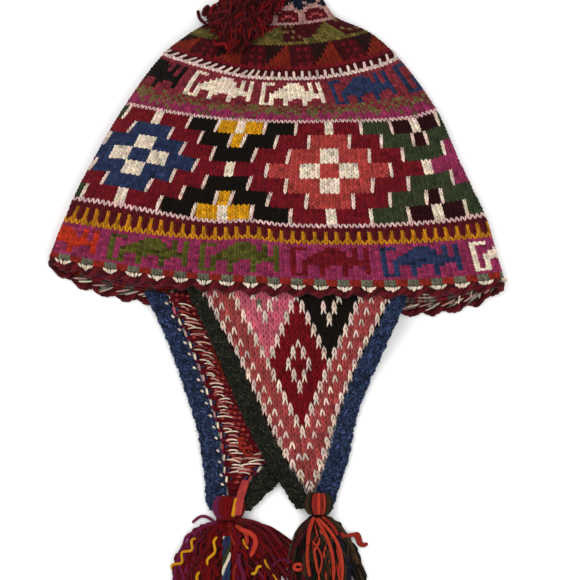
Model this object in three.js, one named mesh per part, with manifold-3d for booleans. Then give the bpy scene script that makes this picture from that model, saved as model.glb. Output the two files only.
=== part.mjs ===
// Chullo: a knitted cap with two ear flaps and three tassels, laid flat with its back wall on the floor.
// Millimetres. +Y runs from the rim to the tip of the crown, +Z up from the floor.
import * as THREE from "three";
import { mergeVertices } from "three/addons/utils/BufferGeometryUtils.js";
import Module from "manifold-3d";

const wasm = await Module();
wasm.setup();

// Rows of a table with named columns
function table(names, ...rows) {
  return rows.map((row) => Object.fromEntries(names.map((name, i) => [name, row[i]])));
}

// Driving sizes
const GAP = 0.3;
const WALL = 3;
const FLAP_THICK = 3;
const BORDER_THICK = 6.5;
const BORDER_SEAT_THICK = 3;
const BORDER_SWELL = 12;

// Crown form: how far a side fold reaches in, how the front wall domes and how the knitted rounds bow
const FOLD_REACH = 10;
const DOME_POWER = 2.5;
const DOME_ROUND = 0.625;
const FRONT_RIM_BOW = 2.7;
const BACK_RIM_BOW = 6;
const CROWN_BOW = 2.2;
const BOW_COURSES = 20;
const TIP_COURSE = 102;
const HOLLOW_END_COURSE = 97;
const RING_POINTS = 46;
const CROWN_STEPS = 19;
const STEP_CROWDING = 0.92;

// A soft upright ridge on the front wall, left of the middle
const RIDGE = { x: -15, width: 13, height: 1.6, rise: 2.6, fullCourse: 10, lastCourse: 58 };

// Rounds of the crown, counted from the rim: ends of the round at the two side folds, how far its front
// and back sag below the line between them, the top of the front wall and the middle of the fold.
const CROWN_ROUNDS = table(
  ["course", "leftX", "leftY", "rightX", "rightY", "frontSag", "backSag", "height", "fold"],
  [0, -135.5, 20, 137.4, 7, 10.3, 20, 24, 8],
  [14, -127.2, 40.8, 130.4, 31.8, 8.7, 19.5, 31, 8],
  [18, -121.8, 54, 126.6, 43.8, 10.5, 20.1, 33, 8],
  [33, -106.2, 83.4, 110.4, 78, 9.3, 15.9, 37, 8],
  [47.5, -89.4, 111.6, 97.2, 107.4, 9.6, 14.1, 36, 8],
  [64, -67.8, 140.4, 75, 138, 12.6, 15, 31, 7.5],
  [74, -52.2, 153, 57, 154.2, 7.8, 9, 26, 7],
  [81, -35.4, 162.6, 37.8, 162.6, 4.8, 5.4, 21, 7],
  [83, -30, 165.6, 34.2, 165.6, 4.8, 5.4, 20, 7],
  [89, -23.4, 172.8, 29.4, 172.8, 3, 3.3, 19, 7],
  [96, -17.4, 184.8, 23.4, 184.8, 2.1, 2.1, 17, 7],
  [102, -9.2, 195.4, 15.2, 195.4, 0.6, 0.6, 13, 6.5],
);

// Scalloped edging round the rim
const EDGE = { scallops: 40, samples: 3, curve: 8, gap: 0.55, drop: 6.2, valley: 0.66, half: 2.6, sides: 6 };

// Flaps, a row per level: outer sides of the borders and sides of the panel between them
const NEAR_FLAP = table(
  ["y", "outerLeft", "panelLeft", "panelRight", "outerRight"],
  [-3.6, -54.4, -45, 69.6, 80.8],
  [-21, -44.6, -35.2, 62, 72.6],
  [-44.4, -33.2, -21.4, 49.6, 61.8],
  [-75, -19.6, -6.4, 38, 49.2],
  [-99, -7.2, 5.2, 31, 44.4],
  [-114, 2.4, 15, 26.2, 39.6],
  [-121.2, 6.6, 19, 23.4, 37.2],
  [-131, 13, 21, 22.5, 34.4],
);
const FAR_FLAP = table(
  ["y", "outerLeft", "panelLeft", "panelRight", "outerRight"],
  [-10.8, -78.2, -65, 58, 70.8],
  [-34.8, -65, -52.2, 43.8, 56.4],
  [-63.6, -53.4, -40.8, 24, 37.2],
  [-85.2, -46.2, -33.6, 9.6, 22.8],
  [-99.6, -43.8, -31.2, -2, 12],
  [-114, -41.6, -29.4, -15, 3.4],
  [-124.8, -41.4, -27.5, -23, -8],
  [-132, -39, -27, -24, -15],
);
const NEAR = {
  table: NEAR_FLAP,
  tuck: 2.6,
  panelEnd: -121.2,
  borderEnd: -131,
  liftRun: 58,
  seatDrop: 4.05,
};
const FAR = {
  table: FAR_FLAP,
  tuck: -1.5,
  panelEnd: -124,
  borderEnd: -132,
  liftStart: 7.3,
  liftRun: 11,
  seat: 4.9,
};

// How high the near flap rides where it crosses the far flap
const OVER = { panel: 3.5, border: 6.9, rise: 12, inset: 14, fall: 14 };

// Tassels: head, neck and the locks that spread from it, over the shoulder of the bundle and then straight on
const LOCK = {
  sides: 6,
  steps: 5,
  neckShare: 0.5,
  endShare: 0.72,
  spread: 0.5,
  fall: 0.35,
  taperFrom: 0.7,
  pileFull: 0.4,
  pileFrom: 0.6,
  pileLoss: 0.8,
};
const NEAR_TASSEL = {
  head: { x: 26.2, y: -127.8, z: 6.4, rx: 8, ry: 7.4, rz: 6.2 },
  neck: { x: 26, y: -134.5, z: 5.5 },
  shoulder: { out: 0.8, down: 0.24 },
  locks: table(
    ["endX", "endY", "wide", "deep", "lift"],
    [13.5, -184, 9, 7, 0],
    [17.5, -193, 10, 8, 0],
    [24, -197, 10, 8, 0],
    [32, -198, 10, 8, 0],
    [40, -196, 10, 8, 0],
    [48, -191, 10, 8, 0],
    [55, -180, 8.5, 7, 0],
    [19, -184, 10, 7, 4],
    [29, -188, 10, 7, 5],
    [42, -183, 10, 7, 4],
  ),
};
const FAR_TASSEL = {
  head: { x: -27.6, y: -130, z: 6.6, rx: 9, ry: 8, rz: 6.4 },
  neck: { x: -28.5, y: -138, z: 5.5 },
  shoulder: { out: 0.95, down: 0.16 },
  locks: table(
    ["endX", "endY", "wide", "deep", "lift"],
    [-62, -181, 9.5, 7, 0],
    [-55, -189, 10.5, 8, 0],
    [-46.5, -195, 10.5, 8, 0],
    [-39, -198, 10.5, 8, 0],
    [-29, -199, 10.5, 8, 0],
    [-19, -198, 10.5, 8, 0],
    [-8, -196, 10.5, 8, 0],
    [3, -186, 9, 7, 0],
    [-49, -184, 10.5, 7, 4],
    [-32, -188, 10.5, 7, 5],
    [-12, -183, 10.5, 7, 4],
  ),
};
const TOP_TASSEL = {
  head: { x: -5, y: 190, z: 21.3, rx: 8, ry: 7, rz: 6 },
  neck: { x: -7, y: 186.5, z: 22 },
  shoulder: { out: 0.55, down: 0.3 },
  locks: table(
    ["endX", "endY", "wide", "deep", "lift"],
    [-46, 166, 8, 6, 0],
    [-44, 160, 9, 7, 0],
    [-38, 150, 10, 7, 0],
    [-29, 142, 10, 7, 0],
    [-19, 142, 10, 7, 0],
    [-9, 151, 9.5, 7, 0],
    [1, 163, 9, 6.5, 0],
    [9, 174, 8, 6, 0],
    [-37, 163, 10, 7, 4],
    [-25, 153, 10, 7, 5],
    [-10, 163, 10, 7, 4],
  ),
};
const HEAD_SEGMENTS = { round: 12, tall: 8 };
const WELD = 1e-4;

// Smooth value of one column of a table at a key, through every row
function column(rows, key, name, at) {
  const last = rows.length - 1;
  const falling = rows[last][key] < rows[0][key];
  const place = falling ? -at : at;
  const keys = rows.map((row) => (falling ? -row[key] : row[key]));
  if (place <= keys[0]) return rows[0][name];
  if (place >= keys[last]) return rows[last][name];
  const i = keys.findIndex((k) => k > place) - 1;
  const slope = (j) => {
    const a = Math.max(j - 1, 0);
    const b = Math.min(j + 1, last);
    return (rows[b][name] - rows[a][name]) / (keys[b] - keys[a]);
  };
  const span = keys[i + 1] - keys[i];
  const f = (place - keys[i]) / span;
  const start = (1 + 2 * f) * (1 - f) ** 2 * rows[i][name] + f * (1 - f) ** 2 * span * slope(i);
  const end = f * f * (3 - 2 * f) * rows[i + 1][name] + f * f * (f - 1) * span * slope(i + 1);
  return start + end;
}

// 0 to 1 with level ends
function ease(f) {
  const c = Math.min(Math.max(f, 0), 1);
  return c * c * (3 - 2 * c);
}

// Closed mesh from positions and triangles
function meshOf(points, triangles) {
  const geometry = new THREE.BufferGeometry();
  geometry.setAttribute("position", new THREE.Float32BufferAttribute(points.flat(), 3));
  geometry.setIndex(triangles.flat());
  return geometry;
}

// Two triangles of a quad, corners given in turn
function quad(a, b, c, d) {
  return [
    [a, b, c],
    [a, c, d],
  ];
}

// Closed loft through rings of equal size, ends capped by a middle point
function loft(rings) {
  const sides = rings[0].length;
  const points = rings.flat();
  const triangles = [];
  for (let r = 0; r + 1 < rings.length; r++)
    for (let k = 0; k < sides; k++) {
      const next = (k + 1) % sides;
      triangles.push(...quad(r * sides + k, r * sides + next, (r + 1) * sides + next, (r + 1) * sides + k));
    }
  const middle = (ring) => [0, 1, 2].map((axis) => ring.reduce((sum, p) => sum + p[axis], 0) / sides);
  const first = points.length;
  points.push(middle(rings[0]), middle(rings[rings.length - 1]));
  const base = (rings.length - 1) * sides;
  for (let k = 0; k < sides; k++) {
    const next = (k + 1) % sides;
    triangles.push([first, next, k], [first + 1, base + k, base + next]);
  }
  return meshOf(points, triangles);
}

// Solid of a geometry, turned to face outwards
function solid(geometry) {
  const bare = geometry.clone();
  bare.deleteAttribute("normal");
  bare.deleteAttribute("uv");
  const merged = mergeVertices(bare, WELD);
  const triVerts = new Uint32Array(merged.index.array);
  const turned = triVerts.map((_, i) => triVerts[i - (i % 3) + ((3 - (i % 3)) % 3)]);
  const vertProperties = new Float32Array(merged.attributes.position.array);
  const made = new wasm.Manifold(new wasm.Mesh({ numProp: 3, vertProperties, triVerts }));
  if (made.volume() > 0) return made;
  return new wasm.Manifold(new wasm.Mesh({ numProp: 3, vertProperties, triVerts: turned }));
}

// Geometry of a solid
function geometryOf(body) {
  const mesh = body.getMesh();
  const geometry = new THREE.BufferGeometry();
  geometry.setAttribute("position", new THREE.BufferAttribute(new Float32Array(mesh.vertProperties), 3));
  geometry.setIndex(new THREE.BufferAttribute(new Uint32Array(mesh.triVerts), 1));
  geometry.computeVertexNormals();
  return geometry;
}

// One round of the crown
function roundAt(course) {
  const get = (name) => column(CROWN_ROUNDS, "course", name, course);
  const leftX = get("leftX");
  const rightX = get("rightX");
  const upward = Math.min(course / BOW_COURSES, 1);
  return {
    half: (rightX - leftX) / 2,
    middle: (rightX + leftX) / 2,
    leftY: get("leftY"),
    rightY: get("rightY"),
    frontSag: get("frontSag"),
    backSag: get("backSag"),
    height: get("height"),
    fold: get("fold"),
    frontBow: FRONT_RIM_BOW + (CROWN_BOW - FRONT_RIM_BOW) * upward,
    backBow: BACK_RIM_BOW + (CROWN_BOW - BACK_RIM_BOW) * upward,
    ridge: ease(course / RIDGE.fullCourse) * (1 - ease(course / RIDGE.lastCourse)),
  };
}

// Height of a round's line across the page, sagging towards the rim
function lineY(round, x, sag, bow) {
  const u = Math.min(Math.max((x - round.middle) / round.half, -1), 1);
  const straight = round.leftY + ((round.rightY - round.leftY) * (u + 1)) / 2;
  return straight - sag * (1 - Math.abs(u) ** bow);
}

function frontY(round, x) {
  return lineY(round, x, round.frontSag, round.frontBow);
}

function backY(round, x) {
  return lineY(round, x, round.backSag, round.backBow);
}

// Strength of the ridge at x
function ridgeAt(round, x) {
  return round.ridge * Math.exp(-(((x - RIDGE.x) / RIDGE.width) ** 2));
}

// Point of the front wall, t from -1 at the left fold to 1 at the right one, inset from the outside
function frontPoint(course, t, inset) {
  const round = roundAt(course);
  const x = round.middle + (round.half - inset) * t;
  const dome = (1 - Math.abs(t) ** DOME_POWER) ** DOME_ROUND;
  const ridge = ridgeAt(round, x);
  const z = round.fold + (round.height - inset - round.fold) * dome + ridge * RIDGE.height;
  return [x, frontY(round, x) + ridge * RIDGE.rise, z];
}

// Point of the back wall, flat on the floor between the folds
function backPoint(course, t, inset) {
  const round = roundAt(course);
  const half = round.half - inset;
  const x = round.middle + half * t;
  const reach = Math.min((half * (1 - Math.abs(t))) / (FOLD_REACH - inset), 1);
  const z = round.fold - (round.fold - inset) * Math.sqrt(1 - (1 - reach) ** 2);
  return [x, backY(round, x), z];
}

// Ring of points round the crown: over the front from left to right, back under the back
function crownRing(course, inset, count) {
  return Array.from({ length: count }, (_, k) => {
    const angle = (2 * Math.PI * k) / count;
    const t = -Math.cos(angle);
    return k < count / 2 ? frontPoint(course, t, inset) : backPoint(course, t, inset);
  });
}

// Crown: outer and inner loft joined at the rim, each closed at the tip
function crownGeometry() {
  const last = CROWN_STEPS - 1;
  const courses = (end) => Array.from({ length: CROWN_STEPS }, (_, i) => end * (i / last) ** STEP_CROWDING);
  const outer = courses(TIP_COURSE).map((course) => crownRing(course, 0, RING_POINTS));
  const inner = courses(HOLLOW_END_COURSE).map((course) => crownRing(course, WALL, RING_POINTS));
  return loft([...inner.reverse(), ...outer]);
}

// Middle of the wall along the rim, evenly spaced, with the direction across the wall
function rimLoop(count) {
  const dense = crownRing(0, WALL / 2, count * EDGE.curve).map((p) => new THREE.Vector3(...p));
  const lowest = EDGE.half * Math.cos(Math.PI / EDGE.sides);
  dense.forEach((p) => (p.z = Math.max(p.z, lowest)));
  const curve = new THREE.CatmullRomCurve3(dense, true, "chordal");
  curve.arcLengthDivisions = dense.length;
  return Array.from({ length: count }, (_, i) => {
    const point = curve.getPointAt(i / count);
    const tangent = curve.getTangentAt(i / count);
    const across = new THREE.Vector3(-tangent.z, 0, tangent.x).normalize();
    return { point, across };
  });
}

// Scalloped edging: a closed tube below the rim
function edgingGeometry() {
  const count = EDGE.scallops * EDGE.samples;
  const rings = rimLoop(count).map(({ point, across }, i) => {
    const swell = Math.abs(Math.sin((Math.PI * i) / EDGE.samples));
    const tall = EDGE.drop * (EDGE.valley + (1 - EDGE.valley) * swell);
    return Array.from({ length: EDGE.sides }, (_, k) => {
      const angle = (2 * Math.PI * (k + 0.5)) / EDGE.sides - Math.PI / 2 + Math.PI / EDGE.sides;
      const out = Math.cos(angle) * EDGE.half;
      return [
        point.x + across.x * out,
        point.y - EDGE.gap - tall / 2 + (Math.sin(angle) * tall) / 2,
        point.z + across.z * out,
      ];
    });
  });
  const points = rings.flat();
  const triangles = [];
  rings.forEach((_, r) => {
    const after = (r + 1) % rings.length;
    for (let k = 0; k < EDGE.sides; k++) {
      const next = (k + 1) % EDGE.sides;
      const at = (ring, side) => ring * EDGE.sides + side;
      triangles.push(...quad(at(r, k), at(r, next), at(after, next), at(after, k)));
    }
  });
  return meshOf(points, triangles);
}

const RIM = roundAt(0);

// Upper edge of each flap under or over the edging
function nearTop(x) {
  return frontY(RIM, x) - NEAR.tuck;
}

function farTop(x) {
  return backY(RIM, x) - FAR.tuck;
}

// Underside of the far flap: over the edging, then on the floor
function farUnder(x, y) {
  const below = backY(RIM, x) - y;
  return FAR.seat * (1 - ease((below - FAR.liftStart) / FAR.liftRun));
}

// Underside of the near flap: from below the edging down to the far flap and the floor beside it
function nearUnder(x, y) {
  const t = (x - RIM.middle) / RIM.half;
  const seat = frontPoint(0, t, 0)[2] - NEAR.seatDrop - FLAP_THICK;
  const farPanel = column(FAR_FLAP, "y", "panelRight", y);
  const farOuter = column(FAR_FLAP, "y", "outerRight", y);
  const climb = ease((x - farPanel + OVER.inset) / OVER.rise);
  const ride = OVER.panel + (OVER.border - OVER.panel) * climb;
  const rest = ride * (1 - ease((x - farOuter) / OVER.fall));
  const drop = ease((nearTop(x) - y) / NEAR.liftRun);
  return seat + (rest - seat) * drop;
}

const NEAR_SHAPE = { ...NEAR, top: nearTop, under: nearUnder };
const FAR_SHAPE = { ...FAR, top: farTop, under: farUnder };
const FLAP_ROWS = 14;
const PANEL_COLUMNS = 10;

// Level of a flap's row at x: the top row follows the rim, lower rows straighten
function flapY(flap, f, end, x) {
  const nominal = flap.table[0].y + (end - flap.table[0].y) * f;
  return nominal + (flap.top(x) - flap.table[0].y) * (1 - f) ** 2;
}

// Knitted panel between the borders, a bent sheet
function panelGeometry(flap) {
  const points = [];
  const triangles = [];
  const wide = PANEL_COLUMNS + 1;
  for (let r = 0; r <= FLAP_ROWS; r++) {
    const f = r / FLAP_ROWS;
    const level = flap.table[0].y + (flap.panelEnd - flap.table[0].y) * f;
    const left = column(flap.table, "y", "panelLeft", level) + GAP / 2;
    const right = column(flap.table, "y", "panelRight", level) - GAP / 2;
    for (const lift of [0, FLAP_THICK])
      for (let c = 0; c < wide; c++) {
        const x = left + ((right - left) * c) / PANEL_COLUMNS;
        const y = flapY(flap, f, flap.panelEnd, x);
        points.push([x, y, flap.under(x, y) + lift]);
      }
  }
  const at = (r, top, c) => (r * 2 + top) * wide + c;
  for (let r = 0; r < FLAP_ROWS; r++) {
    for (let c = 0; c < PANEL_COLUMNS; c++) {
      triangles.push(...quad(at(r, 1, c), at(r + 1, 1, c), at(r + 1, 1, c + 1), at(r, 1, c + 1)));
      triangles.push(...quad(at(r, 0, c), at(r, 0, c + 1), at(r + 1, 0, c + 1), at(r + 1, 0, c)));
    }
    const last = PANEL_COLUMNS;
    triangles.push(...quad(at(r, 0, 0), at(r + 1, 0, 0), at(r + 1, 1, 0), at(r, 1, 0)));
    triangles.push(...quad(at(r, 0, last), at(r, 1, last), at(r + 1, 1, last), at(r + 1, 0, last)));
  }
  for (let c = 0; c < PANEL_COLUMNS; c++) {
    const end = FLAP_ROWS;
    triangles.push(...quad(at(0, 0, c), at(0, 1, c), at(0, 1, c + 1), at(0, 0, c + 1)));
    triangles.push(...quad(at(end, 0, c), at(end, 0, c + 1), at(end, 1, c + 1), at(end, 1, c)));
  }
  return meshOf(points, triangles);
}

// Rounded section of a border with a level underside, as shares of its width and thickness
const BORDER_SECTION = [
  { across: -0.5, up: 0.45 },
  { across: -0.38, up: 0.08 },
  { across: 0, up: 0 },
  { across: 0.38, up: 0.08 },
  { across: 0.5, up: 0.45 },
  { across: 0.36, up: 0.86 },
  { across: 0, up: 1 },
  { across: -0.36, up: 0.86 },
];

const BORDER_TIP_SHARE = 0.6;

// Crocheted border along one side of a flap
function borderGeometry(flap, fromName, toName) {
  const rings = [];
  for (let r = 0; r <= FLAP_ROWS; r++) {
    const f = r / FLAP_ROWS;
    const level = flap.table[0].y + (flap.borderEnd - flap.table[0].y) * f;
    const from = column(flap.table, "y", fromName, level) + GAP / 2;
    const to = column(flap.table, "y", toName, level) - GAP / 2;
    const end = r === FLAP_ROWS ? BORDER_TIP_SHARE : 1;
    rings.push(
      BORDER_SECTION.map(({ across, up }) => {
        const x = (from + to) / 2 + (to - from) * across * end;
        const y = flapY(flap, f, flap.borderEnd, x);
        const swell = ease((flap.top(x) - y - EDGE.drop) / BORDER_SWELL);
        const thick = BORDER_SEAT_THICK + (BORDER_THICK - BORDER_SEAT_THICK) * swell;
        return [x, y, flap.under(x, y) + thick * up * end];
      }),
    );
  }
  return loft(rings);
}

// Head of a tassel, a rounded knot of yarn, optionally grown by a gap
function headGeometry(head, grow) {
  const ball = new THREE.SphereGeometry(1, HEAD_SEGMENTS.round, HEAD_SEGMENTS.tall);
  ball.scale(head.rx + grow, head.ry + grow, head.rz + grow);
  return ball.translate(head.x, head.y, head.z);
}

// Highest point of the crown's front near a place, or the least height of a lock beside it
const LOCK_LOWEST = 5;
const SAMPLES = { firstCourse: 50, across: 40 };
const FRONT_SAMPLES = [];
for (let course = SAMPLES.firstCourse; course <= TIP_COURSE; course++)
  for (let k = 0; k <= SAMPLES.across; k++)
    FRONT_SAMPLES.push(frontPoint(course, (2 * k) / SAMPLES.across - 1, 0));

function crownTop(x, y, radius) {
  const near = FRONT_SAMPLES.filter((p) => Math.hypot(p[0] - x, p[1] - y) < radius);
  return near.reduce((top, p) => Math.max(top, p[2]), LOCK_LOWEST);
}

// One lock of a tassel from the neck over the shoulder to its end, resting on what is under it
function lockGeometry(tassel, lock, restAt) {
  const { neck, shoulder } = tassel;
  const start = new THREE.Vector2(neck.x, neck.y);
  const end = new THREE.Vector2(lock.endX, lock.endY);
  const over = new THREE.Vector2(
    neck.x + (lock.endX - neck.x) * shoulder.out,
    neck.y + (lock.endY - neck.y) * shoulder.down,
  );
  const curve = new THREE.QuadraticBezierCurve(start, over, end);
  const rings = [];
  for (let i = 0; i <= LOCK.steps; i++) {
    const f = i / LOCK.steps;
    const p = curve.getPoint(f);
    const tangent = curve.getTangent(f);
    const grow = LOCK.neckShare + (1 - LOCK.neckShare) * ease(f / LOCK.spread);
    const taper = ease((f - LOCK.taperFrom) / (1 - LOCK.taperFrom));
    const share = grow * (1 - (1 - LOCK.endShare) * taper);
    const wide = (lock.wide * share) / 2;
    const deep = (lock.deep * share) / 2;
    const level = deep * Math.cos(Math.PI / LOCK.sides);
    const sink = LOCK.pileLoss * ease((f - LOCK.pileFrom) / (1 - LOCK.pileFrom));
    const pile = lock.lift * ease(f / LOCK.pileFull) * (1 - sink);
    const rest = restAt(p.x, p.y, wide) + level + pile;
    const z = neck.z + (rest - neck.z) * ease(f / LOCK.fall);
    rings.push(
      Array.from({ length: LOCK.sides }, (_, k) => {
        const angle = (2 * Math.PI * (k + 0.5)) / LOCK.sides;
        const out = Math.sin(angle) * wide;
        return [p.x - tangent.y * out, p.y + tangent.x * out, z - Math.cos(angle) * deep];
      }),
    );
  }
  return loft(rings);
}

// Tassel: head and locks in one body
function tasselSolid(tassel, restAt) {
  return tassel.locks
    .map((lock) => solid(lockGeometry(tassel, lock, restAt)))
    .reduce((body, lock) => body.add(lock), solid(headGeometry(tassel.head, 0)));
}

const onFloor = () => 0;
const LOCK_CLEAR = 0.4;
const LOCK_AROUND = 2.5;
const onCrown = (x, y, wide) => crownTop(x, y, wide + LOCK_AROUND) + LOCK_CLEAR;

// Flap pieces make room for the heads of their tassels
function besideHead(geometry, tassel) {
  return solid(geometry).subtract(solid(headGeometry(tassel.head, GAP)));
}

// Pieces and their yarn colours
const PIECES = [
  { name: "crown", color: 0x87192d, body: solid(crownGeometry()) },
  { name: "rim_edging", color: 0x5f1528, body: solid(edgingGeometry()) },
  { name: "near_flap_panel", color: 0xb04038, body: besideHead(panelGeometry(NEAR_SHAPE), NEAR_TASSEL) },
  {
    name: "near_flap_green_border",
    color: 0x232a1e,
    body: besideHead(borderGeometry(NEAR_SHAPE, "outerLeft", "panelLeft"), NEAR_TASSEL),
  },
  {
    name: "near_flap_blue_border",
    color: 0x2d4178,
    body: besideHead(borderGeometry(NEAR_SHAPE, "panelRight", "outerRight"), NEAR_TASSEL),
  },
  { name: "far_flap_panel", color: 0x9a2a30, body: besideHead(panelGeometry(FAR_SHAPE), FAR_TASSEL) },
  {
    name: "far_flap_blue_border",
    color: 0x2d4178,
    body: besideHead(borderGeometry(FAR_SHAPE, "outerLeft", "panelLeft"), FAR_TASSEL),
  },
  {
    name: "far_flap_green_border",
    color: 0x232a1e,
    body: besideHead(borderGeometry(FAR_SHAPE, "panelRight", "outerRight"), FAR_TASSEL),
  },
  { name: "near_tassel", color: 0xbe3c14, body: tasselSolid(NEAR_TASSEL, onFloor) },
  { name: "far_tassel", color: 0x7a1420, body: tasselSolid(FAR_TASSEL, onFloor) },
  { name: "top_tassel", color: 0x6b0f1e, body: tasselSolid(TOP_TASSEL, onCrown) },
];

const chullo = new THREE.Group();
chullo.name = "chullo";
for (const { name, color, body } of PIECES) {
  const mesh = new THREE.Mesh(geometryOf(body), new THREE.MeshStandardMaterial({ color, roughness: 0.95 }));
  mesh.name = name;
  chullo.add(mesh);
}

export default chullo;
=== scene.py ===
# Chullo laid flat: every stitch, float, edging loop and tassel strand is a small rod of yarn.
# Shapes are worked out in millimetres and stored in metres. +Y runs from the rim to the tip, +Z up.
import bpy
import numpy as np
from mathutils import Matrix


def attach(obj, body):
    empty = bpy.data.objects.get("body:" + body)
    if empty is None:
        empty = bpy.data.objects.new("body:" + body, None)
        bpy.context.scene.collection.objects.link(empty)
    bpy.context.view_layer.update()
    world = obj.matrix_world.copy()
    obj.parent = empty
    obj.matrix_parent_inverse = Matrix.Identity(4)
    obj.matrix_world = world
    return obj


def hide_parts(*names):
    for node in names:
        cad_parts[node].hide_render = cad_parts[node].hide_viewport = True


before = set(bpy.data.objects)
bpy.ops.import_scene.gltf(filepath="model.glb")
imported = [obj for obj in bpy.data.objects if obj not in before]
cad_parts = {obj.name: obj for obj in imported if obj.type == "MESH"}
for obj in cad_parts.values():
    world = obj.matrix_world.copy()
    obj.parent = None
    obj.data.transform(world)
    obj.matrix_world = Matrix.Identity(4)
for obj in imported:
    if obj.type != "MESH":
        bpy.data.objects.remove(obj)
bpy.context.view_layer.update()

MM = 0.001
SEED = 11
rng = np.random.default_rng(SEED)

# Photograph: the page lies under the camera
FRAME_WIDTH = 348
CAMERA_X = 9
CAMERA_HEIGHT = 4000
SENSOR = 36


# Tables and vectors
TINY = 1e-9


def table(names, *rows):
    """Columns of a table by name"""
    return {name: np.array(values, float) for name, values in zip(names.split(), zip(*rows))}


def column(rows, key, name, at):
    """Smooth value of one column of a table at one key or many, through every row"""
    keys, values = rows[key], rows[name]
    at = np.asarray(at, float)
    if keys[-1] < keys[0]:
        keys, at = -keys, -at
    last = len(keys) - 1
    before = np.maximum(np.arange(last + 1) - 1, 0)
    after = np.minimum(np.arange(last + 1) + 1, last)
    slopes = (values[after] - values[before]) / (keys[after] - keys[before])
    at = np.clip(at, keys[0], keys[-1])
    i = np.clip(np.searchsorted(keys, at, side="right") - 1, 0, last - 1)
    span = keys[i + 1] - keys[i]
    f = (at - keys[i]) / span
    start = (1 + 2 * f) * (1 - f) ** 2 * values[i] + f * (1 - f) ** 2 * span * slopes[i]
    end = f * f * (3 - 2 * f) * values[i + 1] + f * f * (f - 1) * span * slopes[i + 1]
    return start + end


def ease(f):
    """0 to 1 with level ends"""
    c = np.clip(f, 0, 1)
    return c * c * (3 - 2 * c)


def unit(vectors):
    """Vectors drawn to a length of one"""
    return vectors / np.maximum(np.linalg.norm(vectors, axis=-1, keepdims=True), TINY)


# Form of the crown, as the solids have it
WALL = 3
FOLD_REACH = 10
DOME_POWER = 2.5
DOME_ROUND = 0.625
FRONT_RIM_BOW = 2.7
BACK_RIM_BOW = 6
CROWN_BOW = 2.2
BOW_COURSES = 20
TIP_COURSE = 102
HOLLOW_END_COURSE = 97
RIDGE_X = -15
RIDGE_WIDTH = 13
RIDGE_HEIGHT = 1.6
RIDGE_RISE = 2.6
RIDGE_FULL_COURSE = 10
RIDGE_LAST_COURSE = 58
CROWN_ROUNDS = table(
    "course left_x left_y right_x right_y front_sag back_sag height fold",
    (0, -135.5, 20, 137.4, 7, 10.3, 20, 24, 8),
    (14, -127.2, 40.8, 130.4, 31.8, 8.7, 19.5, 31, 8),
    (18, -121.8, 54, 126.6, 43.8, 10.5, 20.1, 33, 8),
    (33, -106.2, 83.4, 110.4, 78, 9.3, 15.9, 37, 8),
    (47.5, -89.4, 111.6, 97.2, 107.4, 9.6, 14.1, 36, 8),
    (64, -67.8, 140.4, 75, 138, 12.6, 15, 31, 7.5),
    (74, -52.2, 153, 57, 154.2, 7.8, 9, 26, 7),
    (81, -35.4, 162.6, 37.8, 162.6, 4.8, 5.4, 21, 7),
    (83, -30, 165.6, 34.2, 165.6, 4.8, 5.4, 20, 7),
    (89, -23.4, 172.8, 29.4, 172.8, 3, 3.3, 19, 7),
    (96, -17.4, 184.8, 23.4, 184.8, 2.1, 2.1, 17, 7),
    (102, -9.2, 195.4, 15.2, 195.4, 0.6, 0.6, 13, 6.5),
)

# Stitch columns that lie on the two side folds, of 160 round the rim
AROUND = 160
FOLDS = table(
    "course left right",
    (0, 2.5, 80.5),
    (21, 3, 80.5),
    (33, 3, 79),
    (45, 3, 78.5),
    (102, 3, 78.5),
)

# How far the cloth of the front has slipped at four columns, in millimetres
PIN_COLUMNS = (12, 32, 52, 72)
PIN_REACH = 20
PIN_FADE = 6
PINS = table(
    "course slide12 slide32 slide52 slide72 lift12 lift32 lift52 lift72",
    (14, 0, 0, 0, 0, 0, 0, 0, 0),
    (21, -1.2, -3.4, -0.8, 0.6, 1.5, -1.8, -1.2, -1.2),
    (33, -0.4, -3.5, -1, 0.7, 2, -1.5, -0.6, -2.1),
    (45, -0.5, -1.8, -0.2, 0.3, 0.3, 0, 0.6, -1.8),
    (58, -1.3, -0.5, 0.6, -1, 0, -1.5, -1.8, -1),
    (64, 0, 0, 0, 0, 0, -1.8, -1.8, -1.2),
    (74, 0, 0, 0, 0, 0, 0, 0, 0),
)

# Rows of knitting against the courses of the form: the rows at the rim are taller
LEVELS = table("row course", (0, 0), (2, 2.4), (14, 14), (102, 102))


def level(row):
    """Course of a row"""
    return np.interp(row, LEVELS["row"], LEVELS["course"])


def pinned(course, u, kind):
    """Slip of the cloth at a course and a column"""
    slips = [
        column(PINS, "course", f"{kind}{at}", course) * ease(1 - np.abs(np.mod(u, AROUND) - at) / PIN_REACH)
        for at in PIN_COLUMNS
    ]
    return sum(slips)


def round_at(course):
    """Measures of the rounds at these courses"""
    names = ("left_x", "left_y", "right_x", "right_y", "front_sag", "back_sag", "height", "fold")
    r = {name: column(CROWN_ROUNDS, "course", name, course) for name in names}
    upward = np.minimum(course / BOW_COURSES, 1)
    r["half"] = (r["right_x"] - r["left_x"]) / 2
    r["middle"] = (r["right_x"] + r["left_x"]) / 2
    r["front_bow"] = FRONT_RIM_BOW + (CROWN_BOW - FRONT_RIM_BOW) * upward
    r["back_bow"] = BACK_RIM_BOW + (CROWN_BOW - BACK_RIM_BOW) * upward
    r["ridge"] = ease(course / RIDGE_FULL_COURSE) * (1 - ease(course / RIDGE_LAST_COURSE))
    return r


def line_y(r, x, wall):
    """Level of a round across the page, sagging towards the rim"""
    u = np.clip((x - r["middle"]) / r["half"], -1, 1)
    straight = r["left_y"] + (r["right_y"] - r["left_y"]) * (u + 1) / 2
    return straight - r[wall + "_sag"] * (1 - np.abs(u) ** r[wall + "_bow"])


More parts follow.
